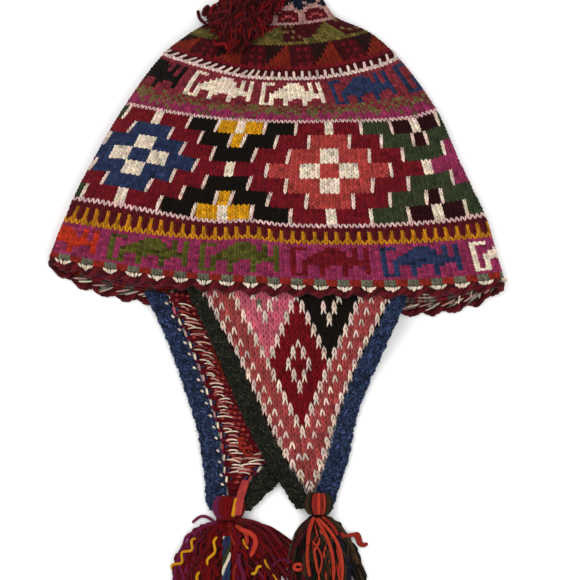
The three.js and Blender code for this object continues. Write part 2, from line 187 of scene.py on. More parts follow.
def front_point(course, t, inset):
    """Front wall, t from -1 at the left fold to 1 at the right one"""
    r = round_at(course)
    x = r["middle"] + (r["half"] - inset) * t
    dome = np.maximum(1 - np.abs(t) ** DOME_POWER, 0) ** DOME_ROUND
    ridge = r["ridge"] * np.exp(-(((x - RIDGE_X) / RIDGE_WIDTH) ** 2))
    z = r["fold"] + (r["height"] - inset - r["fold"]) * dome + ridge * RIDGE_HEIGHT
    return np.stack([x, line_y(r, x, "front") + ridge * RIDGE_RISE, z], -1)


def back_point(course, t, inset):
    """Back wall, flat on the floor between the folds"""
    r = round_at(course)
    half = r["half"] - inset
    x = r["middle"] + half * t
    reach = np.minimum(half * (1 - np.abs(t)) / (FOLD_REACH - inset), 1)
    z = r["fold"] - (r["fold"] - inset) * np.sqrt(np.maximum(1 - (1 - reach) ** 2, 0))
    return np.stack([x, line_y(r, x, "back"), z], -1)


def crown_point(course, u, inset):
    """Point of the crown at a course and a stitch column"""
    course, u = np.broadcast_arrays(np.asarray(course, float), np.asarray(u, float))
    left = column(FOLDS, "course", "left", course)
    right = column(FOLDS, "course", "right", course)
    past = np.mod(u - left, AROUND)
    wide = right - left
    front = past <= wide
    fade = ease(np.minimum(past, wide - past) / PIN_FADE)
    slide = fade * pinned(course, u, "slide") / round_at(course)["half"]
    t_front = np.clip(2 * past / wide - 1 + slide, -1, 1)
    t_back = np.clip(1 - 2 * (past - wide) / (AROUND - wide), -1, 1)
    on_front = front_point(course, t_front, inset)
    on_front[..., 1] += fade * pinned(course, u, "lift")
    on_back = back_point(course, t_back, inset)
    return np.where(front[..., None], on_front, on_back), front


# A count of cells just short of the last one of a grid, and the fineness of the crown's grid
LAST_CELL = 1.001
FINE = 4


class Surface:
    """A surface over two counts, kept as a fine grid of places and normals"""

    def __init__(self, first, second, places, wraps):
        self.first, self.second, self.wraps = first, second, wraps
        self.places = places
        along = np.gradient(places, axis=0)
        if wraps:
            ring = np.concatenate([places[:, -1:], places, places[:, :1]], axis=1)
            across = (ring[:, 2:] - ring[:, :-2]) / 2
        else:
            across = np.gradient(places, axis=1)
        self.normals = unit(np.cross(across, along))

    def at(self, a, b):
        """Places and normals at these counts"""
        rows, columns = len(self.first), len(self.second)
        i = np.clip((a - self.first[0]) / (self.first[1] - self.first[0]), 0, rows - LAST_CELL)
        j = (b - self.second[0]) / (self.second[1] - self.second[0])
        j = np.mod(j, columns) if self.wraps else np.clip(j, 0, columns - LAST_CELL)
        i0, j0 = i.astype(int), j.astype(int) % columns
        j1 = (j0 + 1) % columns
        fi, fj = (i - i0)[..., None], (j - np.floor(j))[..., None]

        def blend(grid):
            near = grid[i0, j0] * (1 - fj) + grid[i0, j1] * fj
            far = grid[i0 + 1, j0] * (1 - fj) + grid[i0 + 1, j1] * fj
            return near * (1 - fi) + far * fi

        return blend(self.places), blend(self.normals)


def crown_surface(inset):
    """Surface of the crown over rows and columns, inset from its outside"""
    rows = np.linspace(0, TIP_COURSE, FINE * TIP_COURSE + 1)
    columns = np.arange(0, AROUND, 1 / FINE)
    places, _ = crown_point(level(rows)[:, None], columns[None, :], inset)
    return Surface(rows, columns, places, True)


# Yarn colours, as they look in daylight
YARN = {
    "crimson": (102, 16, 25),
    "maroon": (60, 9, 14),
    "deep_red": (106, 10, 20),
    "wine": (78, 15, 22),
    "magenta": (131, 41, 75),
    "rose": (114, 38, 46),
    "pink": (187, 88, 104),
    "salmon": (158, 57, 53),
    "flap_red": (150, 63, 62),
    "block_red": (132, 36, 27),
    "orange_red": (172, 44, 22),
    "rust": (106, 29, 15),
    "coral": (165, 52, 35),
    "yellow": (196, 136, 18),
    "cream": (218, 200, 178),
    "tick": (216, 192, 176),
    "tooth": (206, 180, 170),
    "line": (208, 172, 166),
    "gold": (184, 120, 20),
    "fork": (184, 120, 20),
    "heather": (100, 82, 50),
    "soot": (34, 12, 12),
    "shell": (192, 150, 142),
    "dusk": (160, 120, 113),
    "olive": (74, 72, 25),
    "moss": (92, 80, 36),
    "grey_green": (99, 97, 81),
    "green": (48, 55, 34),
    "border_green": (34, 35, 25),
    "blue": (37, 47, 76),
    "border_blue": (44, 57, 88),
    "navy": (18, 22, 36),
    "brown": (52, 38, 24),
    "black": (17, 12, 7),
    "dark_maroon": (38, 6, 9),
    "purple": (98, 24, 60),
    "tassel_red": (100, 8, 10),
    # Half of tassel red: painted shade deep in the tassels' pile
    "tassel_dark": (50, 5, 6),
}
LIGHT_GAIN = 0.77


def linear(rgb):
    """Linear light of a colour given as on a screen"""
    c = np.array(rgb, float) / 255
    return np.where(c <= 0.04045, c / 12.92, ((c + 0.055) / 1.055) ** 2.4) * LIGHT_GAIN


DYE = {name: linear(rgb) for name, rgb in YARN.items()}


# How far the ends of a yarn differ in tone
SPREAD = {
    "olive": 0.26, "moss": 0.28, "magenta": 0.18, "rose": 0.2, "blue": 0.2,
    "border_blue": 0.2, "border_green": 0.2, "brown": 0.3,
}
PLAIN_SPREAD = 0.14
TONE_LEAST = 0.35
TINT = 0.04
DARKEST = 0.0005


def dyed(names, more=1):
    """Linear colours of many yarn ends by name, each a little off its dye lot"""
    colours = np.array([DYE[name] for name in names])
    spread = more * np.array([SPREAD.get(name, PLAIN_SPREAD) for name in names])[:, None]
    tone = 1 + spread * rng.normal(0, 1, (len(names), 1))
    tint = 1 + TINT * rng.normal(0, 1, (len(names), 3))
    return np.clip(colours * np.maximum(tone, TONE_LEAST) * tint, DARKEST, 1)


# Knitting chart of the crown, a function for each band: row from its lowest one, u the stitch from its seam
ANIMAL = (
    "XXX...XXX..X.X..",
    "X....XXXXX.X.X..",
    "X...XXXXXX.X.X..",
    "X..XXXXXXXXX.X..",
    "X.XXXXXXXXXXXX..",
    "X.XXXXXXXXXXXX..",
    "X.X..XX..XX..X..",
    "X.X..X...X...X..",
    "X.X..X...X...X..",
    "XXX..X...X......",
)
ANIMAL_WIDE = 16
ANIMAL_START = 12
LOWER_FIGURES = (
    "olive", "olive", "crimson", "blue", "cream", "cream", "green", "black", "orange_red", "orange_red",
)
UPPER_FIGURES = ("cream", "cream", "blue", "blue", "green", "green", "black", "black")


def animals(row, column_at, figures, ground):
    """Row of standing animals, each with its tail turned up"""
    place = column_at - ANIMAL_START
    if 0 <= row < len(ANIMAL) and ANIMAL[len(ANIMAL) - 1 - row][place % ANIMAL_WIDE] == "X":
        return figures[place // ANIMAL_WIDE % len(figures)]
    return ground


def rim_blocks(row, u):
    return "grey_green" if u % 4 in (0, 1) else "block_red"


def lower_animals(row, u):
    return animals(row - 1, u, LOWER_FIGURES, "magenta")


def yellow_teeth(row, u):
    if row == 0:
        return "gold"
    return "fork" if row < 3 and u % 2 == 0 else "wine"


def white_line(row, u):
    return "line"


# Big band: diamonds and hourglasses on a repeat of 40 stitches, in blocks of 4 stitches and 4 rows
BIG_REPEAT = 40
BIG_MIDDLE = 12
BLOCK = 4
MIDDLE_BLOCK = 3
DIAMONDS = (("blue", "crimson"), ("salmon", "crimson"), ("olive", "magenta"), ("orange_red", "crimson"))
HOURGLASSES = (("black", "yellow"), ("green", "dark_maroon"), ("black", "yellow"), ("green", "dark_maroon"))


def in_diamond(off, d, fill):
    """Colour inside a diamond: its white squares stand round the middle"""
    if (abs(d) == 1 and off < 2) or (d == 0 and 2 <= off < 6):
        return "cream"
    return fill


def in_hourglass(off, d, fill, square):
    """Colour of an hourglass by the distance from its middle"""
    if d == 3:
        steps = ((1, "cream"), (5, square), (6, "tick"), (12, fill), (13, "tick"))
    elif d == 2:
        steps = ((1, square), (2, "tick"), (8, fill), (9, "tick"))
    elif d == 1:
        steps = ((4, fill), (5, "tick"))
    else:
        steps = ((1, "cream"),)
    return next((colour for end, colour in steps if off < end), None)


def big_band(row, u):
    block = row // BLOCK
    d = abs(block - MIDDLE_BLOCK)
    place = (u + 0.5 - BIG_MIDDLE) % (len(DIAMONDS) * BIG_REPEAT)
    index = int(((place + BIG_REPEAT / 2) // BIG_REPEAT) % len(DIAMONDS))
    c = (place + BIG_REPEAT / 2) % BIG_REPEAT - BIG_REPEAT / 2
    fill, frame_colour = DIAMONDS[index]
    half = BLOCK * (MIDDLE_BLOCK - d)
    if abs(c) < half:
        return in_diamond(abs(c), block - MIDDLE_BLOCK, fill)
    if abs(c) < half + 1:
        return "tick" if half else "cream"
    glass = HOURGLASSES[index if c > 0 else index - 1]
    return in_hourglass(BIG_REPEAT / 2 - abs(c), d, *glass) or frame_colour


# Share of heather stitches, by row, where one stripe blends into the next
BLEND = (0, 0.14, 0.4, 0.62, 0.58, 0.4)
BLEND_TURN = 0.3
FLECKS = 0.3
SCATTER_ACROSS = 12.99
SCATTER_UP = 78.23
SCATTER_SIZE = 43758.55


def scattered(row, u):
    """A number from 0 to 1 without order from stitch to stitch"""
    return np.sin(SCATTER_ACROSS * u + SCATTER_UP * row) * SCATTER_SIZE % 1


def blended_stripe(row, u):
    turn = BLEND_TURN if (u + row) % 2 else -BLEND_TURN
    if scattered(row, u) < BLEND[row] + turn:
        return "heather"
    return "magenta" if row < 3 else "rose"


def upper_animals(row, u):
    return animals(row if row < 2 else row + 1, u, UPPER_FIGURES, "rose")


def white_comb(row, u):
    return "tooth" if row == 0 else "maroon"


# Repeats of the upper bands, the width of their teeth and the rows they take
TRIANGLE_REPEAT = 12
TRIANGLE_WIDE = 6
SAW_REPEAT = 16
SAW_WIDE = 10
TOOTH_TALL = 6
ARCH_REPEAT = 8
ARCH_MIDDLE = 3.5


def diagonal(row, c, wide, tall, low, high):
    """Square cut by a diagonal that rises to the right"""
    return low if c * tall >= row * wide else high


def orange_triangles(row, u):
    c = u % TRIANGLE_REPEAT
    if row == 0:
        return "crimson"
    if c < TRIANGLE_WIDE:
        return diagonal(row - 1, c, TRIANGLE_WIDE, TOOTH_TALL, "rust", "soot")
    return "crimson" if row % 2 and c in (8, 10) else "maroon"


def olive_sawtooth(row, u):
    c = u % SAW_REPEAT
    if row == 0:
        return "moss"
    if c < SAW_WIDE:
        ground = "crimson" if u // SAW_REPEAT % 2 else "maroon"
        return diagonal(row - 1, c, SAW_WIDE, TOOTH_TALL, "moss", ground)
    return "heather" if scattered(row, u) < FLECKS else "maroon"


def arches(row, u):
    if row == 0:
        return "dusk"
    off = abs((u + 1) % ARCH_REPEAT - ARCH_MIDDLE)
    if row > 5:
        return "dusk" if off < 9 - row else "navy"
    if off > 3 or (row == 5 and off > 2):
        return "dusk"
    return "flap_red" if (row == 3 and off < 1) or (row == 2 and 1 < off < 2) else "wine"


def navy_top(row, u):
    return "dusk" if row == 0 and u % 3 == 0 else "navy"


# Bands from the rim up: first row, number of rows, stitches round and chart
BANDS = (
    (0, 2, 160, rim_blocks),
    (2, 12, 160, lower_animals),
    (14, 4, 160, yellow_teeth),
    (18, 1, 160, white_line),
    (19, 28, 160, big_band),
    (47, 1, 160, white_line),
    (48, 6, 160, blended_stripe),
    (54, 10, 128, upper_animals),
    (64, 3, 128, white_comb),
    (67, 7, 108, orange_triangles),
    (74, 7, 96, olive_sawtooth),
    (81, 8, 64, arches),
    (89, 7, 40, navy_top),
    (96, 6, 24, navy_top),
)


# Single stitches that stand as narrow strokes, leaning a little to the right
TICK_LEAN_LEFT = 0.12
TICK_LEAN_RIGHT = 0.06
TICK_WAYWARD = 0.07
TICK_TURN = 7.3
TICK_TURN_UP = 5.1
TICK_WIDE = 0.64
TICK_SLIMS = (0.85, 1.1, 1.1, 0.85)
FORK_WAYWARD = 0.12
FORK_TURN = 5.3
FORK_WIDE = 0.46
FORK_SLIM = 1.2
LINE_SLIM = 0.62
FRONT_MIDDLE = 41


def stroke(name, row, u):
    """Lean of a stitch in columns, its share of the usual width and of its legs' usual thickness"""
    if name == "tick":
        lean = TICK_LEAN_LEFT if u < FRONT_MIDDLE else TICK_LEAN_RIGHT
        lean += TICK_WAYWARD * np.sin(TICK_TURN * u + TICK_TURN_UP * (row // BLOCK))
        return lean * (row % BLOCK - (BLOCK - 1) / 2), TICK_WIDE, TICK_SLIMS[row % BLOCK]
    if name == "fork":
        return FORK_WAYWARD * np.sin(FORK_TURN * u), FORK_WIDE, FORK_SLIM
    return 0, 1, LINE_SLIM if name in ("line", "gold") else 1


def crown_chart():
    """Every stitch of the crown: row, place round the rim, width in columns, thickness and colour"""
    stitches = []
    for first, count, around, chart in BANDS:
        for row, u in np.ndindex(count, around):
            name = chart(row, u)
            lean, share, slim = stroke(name, row, u)
            place = (u + 0.5 + lean) * AROUND / around
            stitches.append((first + row, place, share * AROUND / around, slim, name))
    *measures, names = zip(*stitches)
    return *np.array(measures, float), np.array(names)


# Meshes


def rods(paths, wide, deep, facing, sides):
    """Closed rods of yarn along many paths at once, each drawn to a point at both ends"""
    count, steps = paths.shape[:2]
    tangent = unit(np.gradient(paths, axis=1))
    across = unit(np.cross(facing, tangent))
    up = np.cross(tangent, across)
    angle = 2 * np.pi * (np.arange(sides) + 0.5) / sides
    inner = slice(1, steps - 1)
    ring = (
        across[:, inner, None] * (wide[:, inner, None] * np.cos(angle))[..., None]
        + up[:, inner, None] * (deep[:, inner, None] * np.sin(angle))[..., None]
    )
    rings = (paths[:, inner, None] + ring).reshape(count, -1, 3)
    points = np.concatenate([paths[:, :1], rings, paths[:, -1:]], axis=1)
    size = points.shape[1]
    k = np.arange(sides)
    after = (k + 1) % sides
    tris = np.concatenate(
        [
            np.stack([np.zeros(sides, int), 1 + after, 1 + k], 1),
            np.stack([np.full(sides, size - 1), size - 1 - sides + k, size - 1 - sides + after], 1),
        ]
    )
    step = 1 + sides * np.arange(steps - 3)[:, None]
    quads = np.stack([step + k, step + after, step + sides + after, step + sides + k], -1).reshape(-1, 4)
    offset = size * np.arange(count)[:, None, None]
    return points.reshape(-1, 3), [(tris + offset).reshape(-1, 3), (quads + offset).reshape(-1, 4)], size


def grid(points, closed):
    """Faces of a grid of points, closed round its second count or open"""
    rows, columns = points.shape[:2]
    c = np.arange(columns if closed else columns - 1)
    r = np.arange(rows - 1)[:, None] * columns
    after = (c + 1) % columns
    quads = np.stack([r + c, r + after, r + columns + after, r + columns + c], -1).reshape(-1, 4)
    return points.reshape(-1, 3), [quads]


FLOOR_CLEAR = 0.02


def put(name, data):
    """An object of the scene"""
    made = bpy.data.objects.new(name, data)
    bpy.context.scene.collection.objects.link(made)
    return made


class Yarn:
    """Collects yarn for one mesh: points in millimetres, faces and a colour for each point"""

    def __init__(self):
        self.points, self.faces, self.colours, self.size = [], [], [], 0

    def add(self, points, faces, colours):
        self.points.append(points)
        self.faces += [face + self.size for face in faces]
        self.colours.append(np.broadcast_to(colours, points.shape))
        self.size += len(points)

    def add_rods(self, paths, wide, deep, facing, sides, colours):
        """Rods with one colour each"""
        wide, deep = (np.broadcast_to(size, paths.shape[:2]) for size in (wide, deep))
        points, faces, size = rods(paths, wide, deep, np.broadcast_to(facing, paths.shape), sides)
        self.add(points, faces, np.repeat(colours, size, axis=0))

    def add_rod(self, path, size, facing, sides, colours):
        """One round rod"""
        self.add_rods(path[None], size, size, facing, sides, colours)

    def piece(self, name, material, slot, *nodes):
        """The collected yarn as one piece of the hat"""
        points = np.concatenate(self.points)
        points[:, 2] = np.maximum(points[:, 2], FLOOR_CLEAR)
        points *= MM
        corners = np.concatenate([face.ravel() for face in self.faces])
        totals = np.concatenate([np.full(len(face), face.shape[1]) for face in self.faces])
        mesh = bpy.data.meshes.new(name)
        mesh.vertices.add(len(points))
        mesh.vertices.foreach_set("co", points.astype(np.float32).ravel())
        mesh.loops.add(len(corners))
        mesh.loops.foreach_set("vertex_index", corners.astype(np.int32))
        mesh.polygons.add(len(totals))
        mesh.polygons.foreach_set("loop_start", (np.cumsum(totals) - totals).astype(np.int32))
        mesh.polygons.foreach_set("use_smooth", np.ones(len(totals), bool))
        colours = mesh.color_attributes.new("yarn", "FLOAT_COLOR", "POINT")
        rgba = np.ones((len(points), 4), np.float32)
        rgba[:, :3] = np.concatenate(self.colours)
        colours.data.foreach_set("color", rgba.ravel())
        mesh.update(calc_edges=True)
        mesh.materials.append(material)
        made = put(name, mesh)
        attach(made, "root")
        if nodes:
            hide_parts(*nodes)
        return made


# Materials


def set_inputs(node, values):
    """A node with some of its inputs set by name"""
    for name, value in values.items():
        node.inputs[name].default_value = value
    return node


def wool(name, fibre, bump, sheen):
    """Wool: the colour of each yarn end, mottled by its fibres, with a soft nap"""
    material = bpy.data.materials.new(name)
    material.use_nodes = True
    nodes, links = material.node_tree.nodes, material.node_tree.links
    nap = {"Roughness": 0.92, "Specular IOR Level": 0.06, "Sheen Weight": sheen, "Sheen Roughness": 0.5}
    shader = set_inputs(nodes["Principled BSDF"], nap)
    dye = nodes.new("ShaderNodeAttribute")
    dye.attribute_name = "yarn"
    place = nodes.new("ShaderNodeTexCoord")
    fine = set_inputs(nodes.new("ShaderNodeTexNoise"), {"Scale": fibre, "Detail": 3, "Roughness": 0.65})
    tones = {"From Min": 0.3, "From Max": 0.7, "To Min": 0.6, "To Max": 1.36}
    ramp = set_inputs(nodes.new("ShaderNodeMapRange"), tones)
    tint = nodes.new("ShaderNodeVectorMath")
    tint.operation = "SCALE"
    relief = set_inputs(nodes.new("ShaderNodeBump"), {"Strength": bump, "Distance": 0.3 * MM})
    links.new(place.outputs["Object"], fine.inputs["Vector"])
    links.new(fine.outputs["Fac"], ramp.inputs["Value"])
    links.new(dye.outputs["Color"], tint.inputs[0])
    links.new(ramp.outputs["Result"], tint.inputs["Scale"])
    links.new(tint.outputs["Vector"], shader.inputs["Base Color"])
    links.new(fine.outputs["Fac"], relief.inputs["Height"])
    links.new(relief.outputs["Normal"], shader.inputs["Normal"])
    return material


KNIT = wool("knit_wool", fibre=1400, bump=0.5, sheen=0.02)
CROCHET = wool("crochet_wool", fibre=1800, bump=0.8, sheen=0.04)
STRAND = wool("strand_wool", fibre=2200, bump=0.7, sheen=0.02)


# One leg of a stitch: across from its middle and up in stitches, lift in millimetres, size as a share
LEG = table(
    "across up lift size",
    (0.02, -0.52, -0.32, 0),
    (0.14, 0.25, 0.24, 0.98),
    (0.35, 0.97, 0.24, 0.98),
    (0.5, 1.76, -0.32, 0),
)
SHORT_LEG = table(
    "across up lift size",
    (0.02, -0.52, -0.32, 0),
    (0.25, 0.6, 0.3, 1),
    (0.5, 1.76, -0.32, 0),
)
LEG_HALF = 0.3
LEG_DEPTH = 0.5
# Left legs painted lighter and right legs darker, as light from the left
LEG_PAINTED_LIGHT = 0.09
LEG_UNEVEN = 0.08
LEG_STRAY = 0.04
WIDEST = 4


def knit(yarn, surface, rows, places, widths, slims, colours, leg, depth, sides):
    """Two legs for each stitch on a surface, their point where the row begins, the left leg painted lighter
    and the right one darker as light from the left
    """
    along = leg["up"]
    middle = rows[:, None] + 0.5
    right, _ = surface.at(middle, (places + widths / 2)[:, None])
    left, _ = surface.at(middle, (places - widths / 2)[:, None])
    stitch = np.minimum(np.linalg.norm(right - left, axis=-1), WIDEST) * slims[:, None]
    for side in (-1, 1):
        jitter = rng.normal(0, LEG_STRAY, (2, len(rows), 1))
        course = rows[:, None] + along + jitter[0]
        column_at = places[:, None] + (side * leg["across"] + jitter[1]) * widths[:, None]
        place, normal = surface.at(course, column_at)
        paths = place + normal * (leg["lift"] + depth)[..., None]
        wide = LEG_HALF * stitch * leg["size"]
        # Painted light by the leg's side, with random unevenness of each leg
        tone = 1 - side * LEG_PAINTED_LIGHT + rng.normal(0, LEG_UNEVEN, (len(rows), 1))
        yarn.add_rods(paths, wide, LEG_DEPTH * leg["size"], normal, sides, colours * tone)


# Crown
OUTSIDE = crown_surface(0)
INSIDE = crown_surface(WALL)
INSIDE.normals *= -1
BASE_INSET = 0.5
FRONT_DEPTH = -0.4
BACK_DEPTH = -0.85
# Painted shade: share of their colour kept by the wall, cloth, cores and balls under the stitches and
# strands, and by the bumps inside the crown
PAINTED_SHADE = 0.85
INNER_STEPS = 30
LOWER_END = 19
MIDDLE_END = 47
FRONT_OVERLAP = 3


def crown_base(chart):
    """Wall of the crown under the stitches, hollow and open at the rim, its colours darkened as painted
    shade between the stitches
    """
    rows, _, _, _, names = chart
    dye = np.array([DYE["crimson" if name == "tick" else name] for name in names])
    shown = np.zeros((TIP_COURSE, AROUND, 3))
    for row in range(TIP_COURSE):
        mine = rows == row
        count = int(mine.sum())
        shown[row] = dye[mine][(np.arange(AROUND) * count) // AROUND]
    columns = np.arange(AROUND)
    skins = []
    for inset, end, steps in ((BASE_INSET, TIP_COURSE, TIP_COURSE), (WALL, HOLLOW_END_COURSE, INNER_STEPS)):
        at = np.linspace(0, end, int(steps) + 1)
        places_at, _ = crown_point(level(at)[:, None], columns[None, :] + 0.5, inset)
        shade = shown[np.minimum(at.astype(int), TIP_COURSE - 1)] * PAINTED_SHADE
        skins.append((places_at, shade))
    (outer, outer_shade), (inner, inner_shade) = skins
    wall = np.concatenate([inner[::-1], outer])
    shades = np.concatenate([inner_shade[::-1], outer_shade])
    yarn = Yarn()
    points, faces = grid(wall, True)
    ends = np.stack([wall[0].mean(0), wall[-1].mean(0)])
    k = np.arange(AROUND)
    after = (k + 1) % AROUND
    base = (len(wall) - 1) * AROUND
    middle = len(points)
    caps = np.concatenate(
        [
            np.stack([np.full(AROUND, middle), after, k], 1),
            np.stack([np.full(AROUND, middle + 1), base + k, base + after], 1),
        ]
    )
    colours = np.concatenate([shades.reshape(-1, 3), shades[0, :1], shades[-1, :1]])
    yarn.add(np.concatenate([points, ends]), faces + [caps], colours)
    return yarn.piece("crown_wall", KNIT, "crown_knit", "crown")


def crown_stitches(chart):
    """Outside of the crown: fine stitches in front, plainer ones under the back"""
    rows, places, widths, slims, names = chart
    colours = dyed(names)
    left = column(FOLDS, "course", "left", rows)
    right = column(FOLDS, "course", "right", rows)
    past = np.mod(places - left + FRONT_OVERLAP, AROUND)
    front = past <= right - left + 2 * FRONT_OVERLAP
    parts = (
        ("crown_front_lower", front & (rows < LOWER_END), LEG, FRONT_DEPTH, 5),
        ("crown_front_middle", front & (rows >= LOWER_END) & (rows < MIDDLE_END), LEG, FRONT_DEPTH, 5),
        ("crown_front_upper", front & (rows >= MIDDLE_END), LEG, FRONT_DEPTH, 5),
        ("crown_back", ~front, SHORT_LEG, BACK_DEPTH, 3),
    )
    for name, mine, leg, depth, sides in parts:
        yarn = Yarn()
        stitches = (rows[mine], places[mine], widths[mine], slims[mine], colours[mine])
        knit(yarn, OUTSIDE, *stitches, leg, depth, sides)
        yarn.piece(name, KNIT, "crown_knit")


# Inside of the crown near the rim: bumps of the wrong side, darkened as painted shade inside the hollow
INSIDE_ROWS = 24
INSIDE_BUMP = table("across up lift size", (-0.62, 0.1, 0, 0), (0, -0.15, 0.45, 0.85), (0.62, 0.1, 0, 0))
INSIDE_STRAY = 0.1
INSIDE_SPREAD = 1.5
INSIDE_FLAT = 0.7


def crown_inside(chart):
    rows, places, widths, _, names = chart
    mine = rows < INSIDE_ROWS
    rows, places, widths = rows[mine], places[mine], widths[mine]
    colours = dyed(names[mine], INSIDE_SPREAD) * PAINTED_SHADE
    course = rows[:, None] + 0.5 + INSIDE_BUMP["up"] + rng.normal(0, INSIDE_STRAY, (len(rows), 1))
    place, normal = INSIDE.at(course, places[:, None] + INSIDE_BUMP["across"] * widths[:, None])
    paths = place + normal * INSIDE_BUMP["lift"][:, None]
    yarn = Yarn()
    yarn.add_rods(paths, INSIDE_BUMP["size"], INSIDE_BUMP["size"] * INSIDE_FLAT, normal, 3, colours)
    yarn.piece("crown_inside", KNIT, "crown_knit")


CHART = crown_chart()
crown_base(CHART)
crown_stitches(CHART)
crown_inside(CHART)


# Strands, loose or laid on a surface
SKYWARD = np.array([0.0, 0.0, 1.0])
DRAWN_IN = 6
BLUNT_END = 0.75
STRAND_UNEVEN = 0.05
HAIR_RADIUS = 0.07
HAIR_RANGE = (0.4, 1.2)
HAIR_RISE = 1.2
HAIR_DROOP = 0.5
HAIR_LEAN = 0.55
HAIR_SPREAD = 2
# Hairs painted paler than their yarn: painted highlight on the fuzz
HAIR_PAINTED_HIGHLIGHT = 1.3


def drawn_in(f):
    """Share of its full size along a strand with drawn-in ends"""
    return np.minimum(np.minimum(f, 1 - f) * DRAWN_IN, 1)


def lay(yarn, surface, a, b, lift, radius, colour):
    """One short strand laid along a surface, its ends drawn in"""
    f = np.linspace(0, 1, len(a))
    place, normal = surface.at(np.asarray(a, float), np.asarray(b, float))
    path = place + normal * (lift * np.sin(np.pi * f) ** 0.5)[:, None]
    yarn.add_rod(path, radius * drawn_in(f), normal, 5, dyed([colour]))


def add_strand(yarn, path, radius, colour, sides=6):
    """One strand with blunt, slightly thinned ends"""
    f = np.linspace(0, 1, len(path))
    blunt = np.minimum(1, BLUNT_END + 2 * np.minimum(f, 1 - f))
    size = radius * blunt * rng.normal(1, STRAND_UNEVEN, len(path))
    yarn.add_rod(path, size, SKYWARD, sides, dyed([colour]))


def fuzz(yarn, surface, count, reach, radius, colour):
    """Fine hairs that stand off a surface, painted paler than its yarn as a highlight"""
    a = rng.uniform(0, surface.first[-1], (count, 1))
    b = rng.uniform(surface.second[0], surface.second[-1], (count, 1))
    place, normal = surface.at(a, b)
    drift = rng.normal(0, 1, (count, 1, 3))
    along = np.array([0, 0.5, 1])[:, None]
    length = reach * rng.uniform(*HAIR_RANGE, (count, 1, 1))
    rise = normal * along * (HAIR_RISE - HAIR_DROOP * along)
    paths = place + length * (rise + HAIR_LEAN * drift * along**2)
    size = np.array([0, radius, 0])
    yarn.add_rods(paths, size, size, drift, 3, dyed([colour] * count, HAIR_SPREAD) * HAIR_PAINTED_HIGHLIGHT)


# Teeth of the white comb: strokes that lean most on the left of the front
TOOTH_ROW = 64.5
TOOTH_HIGH = 2.4
TOOTH_STEP = 2.5
TOOTH_STRAY = 0.25
TOOTH_UNEVEN = 0.15
TOOTH_LIFT = 0.25
TEETH = table(
    "at lean radius",
    (0, 2, 0.7), (14, 2.4, 0.7), (28, 2, 0.75), (42, 0.3, 0.9), (70, 0.8, 1), (AROUND, 1, 0.8),
)


def comb_teeth():
    yarn = Yarn()
    f = np.linspace(0, 1, 7)
    for u in np.arange(0, AROUND, TOOTH_STEP):
        lean = column(TEETH, "at", "lean", u) + rng.normal(0, TOOTH_STRAY)
        radius = column(TEETH, "at", "radius", u)
        high = TOOTH_HIGH + rng.normal(0, TOOTH_UNEVEN)
        lay(yarn, OUTSIDE, TOOTH_ROW + high * f, u + lean * f, TOOTH_LIFT, radius, "tooth")
    yarn.piece("crown_comb", KNIT, "crown_knit")


comb_teeth()


# Edging: three strands twisted into a rope that dips under each green block
FLOAT_RADIUS = 0.6
SCALLOPS = 40
SCALLOP_WIDE = AROUND / SCALLOPS
CUP_AT = 1
ROPE_JUNCTION = -1.8
ROPE_CUP = -4.6
ROPE_RADIUS = 1.15
STRAND_RADIUS = 1.45
ROPE_STEPS = 18
ROPE_TURNS = 1.35
# Brightness of the three wine strands: painted shade and painted highlight on the rope, beyond the strands'
# own slight difference
ROPE_SHADE_AND_HIGHLIGHT = (0.65, 1.15, 1.6)
ROPE_UNEVEN = 0.4
ROPE_SMOOTH = 5
ROPE_HAIRS = 600
ROPE_HAIR = np.array([[-0.3], [0.4], [1.2]])
ROPE_HAIR_STRAY = 0.25
WEDGE_RODS = 6
WEDGE_HALF = 1.35
WEDGE_LONG = 3.5
WEDGE_AT = 0.15
WEDGE_START = 0.6
WEDGE_DRAWN = 0.55
WEDGE_ROUND = 0.4
WEDGE_STRAY = 0.09
WEDGE_UNEVEN = 0.15
WEDGE_SEAT = 0.5
WEDGE_BULGE = 0.75
WEDGE_ARC = (0.25, 0.6)
WEDGE_SIZES = np.array([0, 0.65, 0.85, 0.8, 0])
UPWARD = np.array([0.0, 1.0, 0.0])
CUPS = SCALLOP_WIDE * np.arange(SCALLOPS) + CUP_AT


def rim_line(u, inset):
    """Places along the rim at these columns, with the outward direction across the wall"""
    place, _ = crown_point(np.zeros_like(u), u, inset)
    _, normal = OUTSIDE.at(np.zeros_like(u), u)
    return place, unit(normal * np.array([1, 0, 1]))


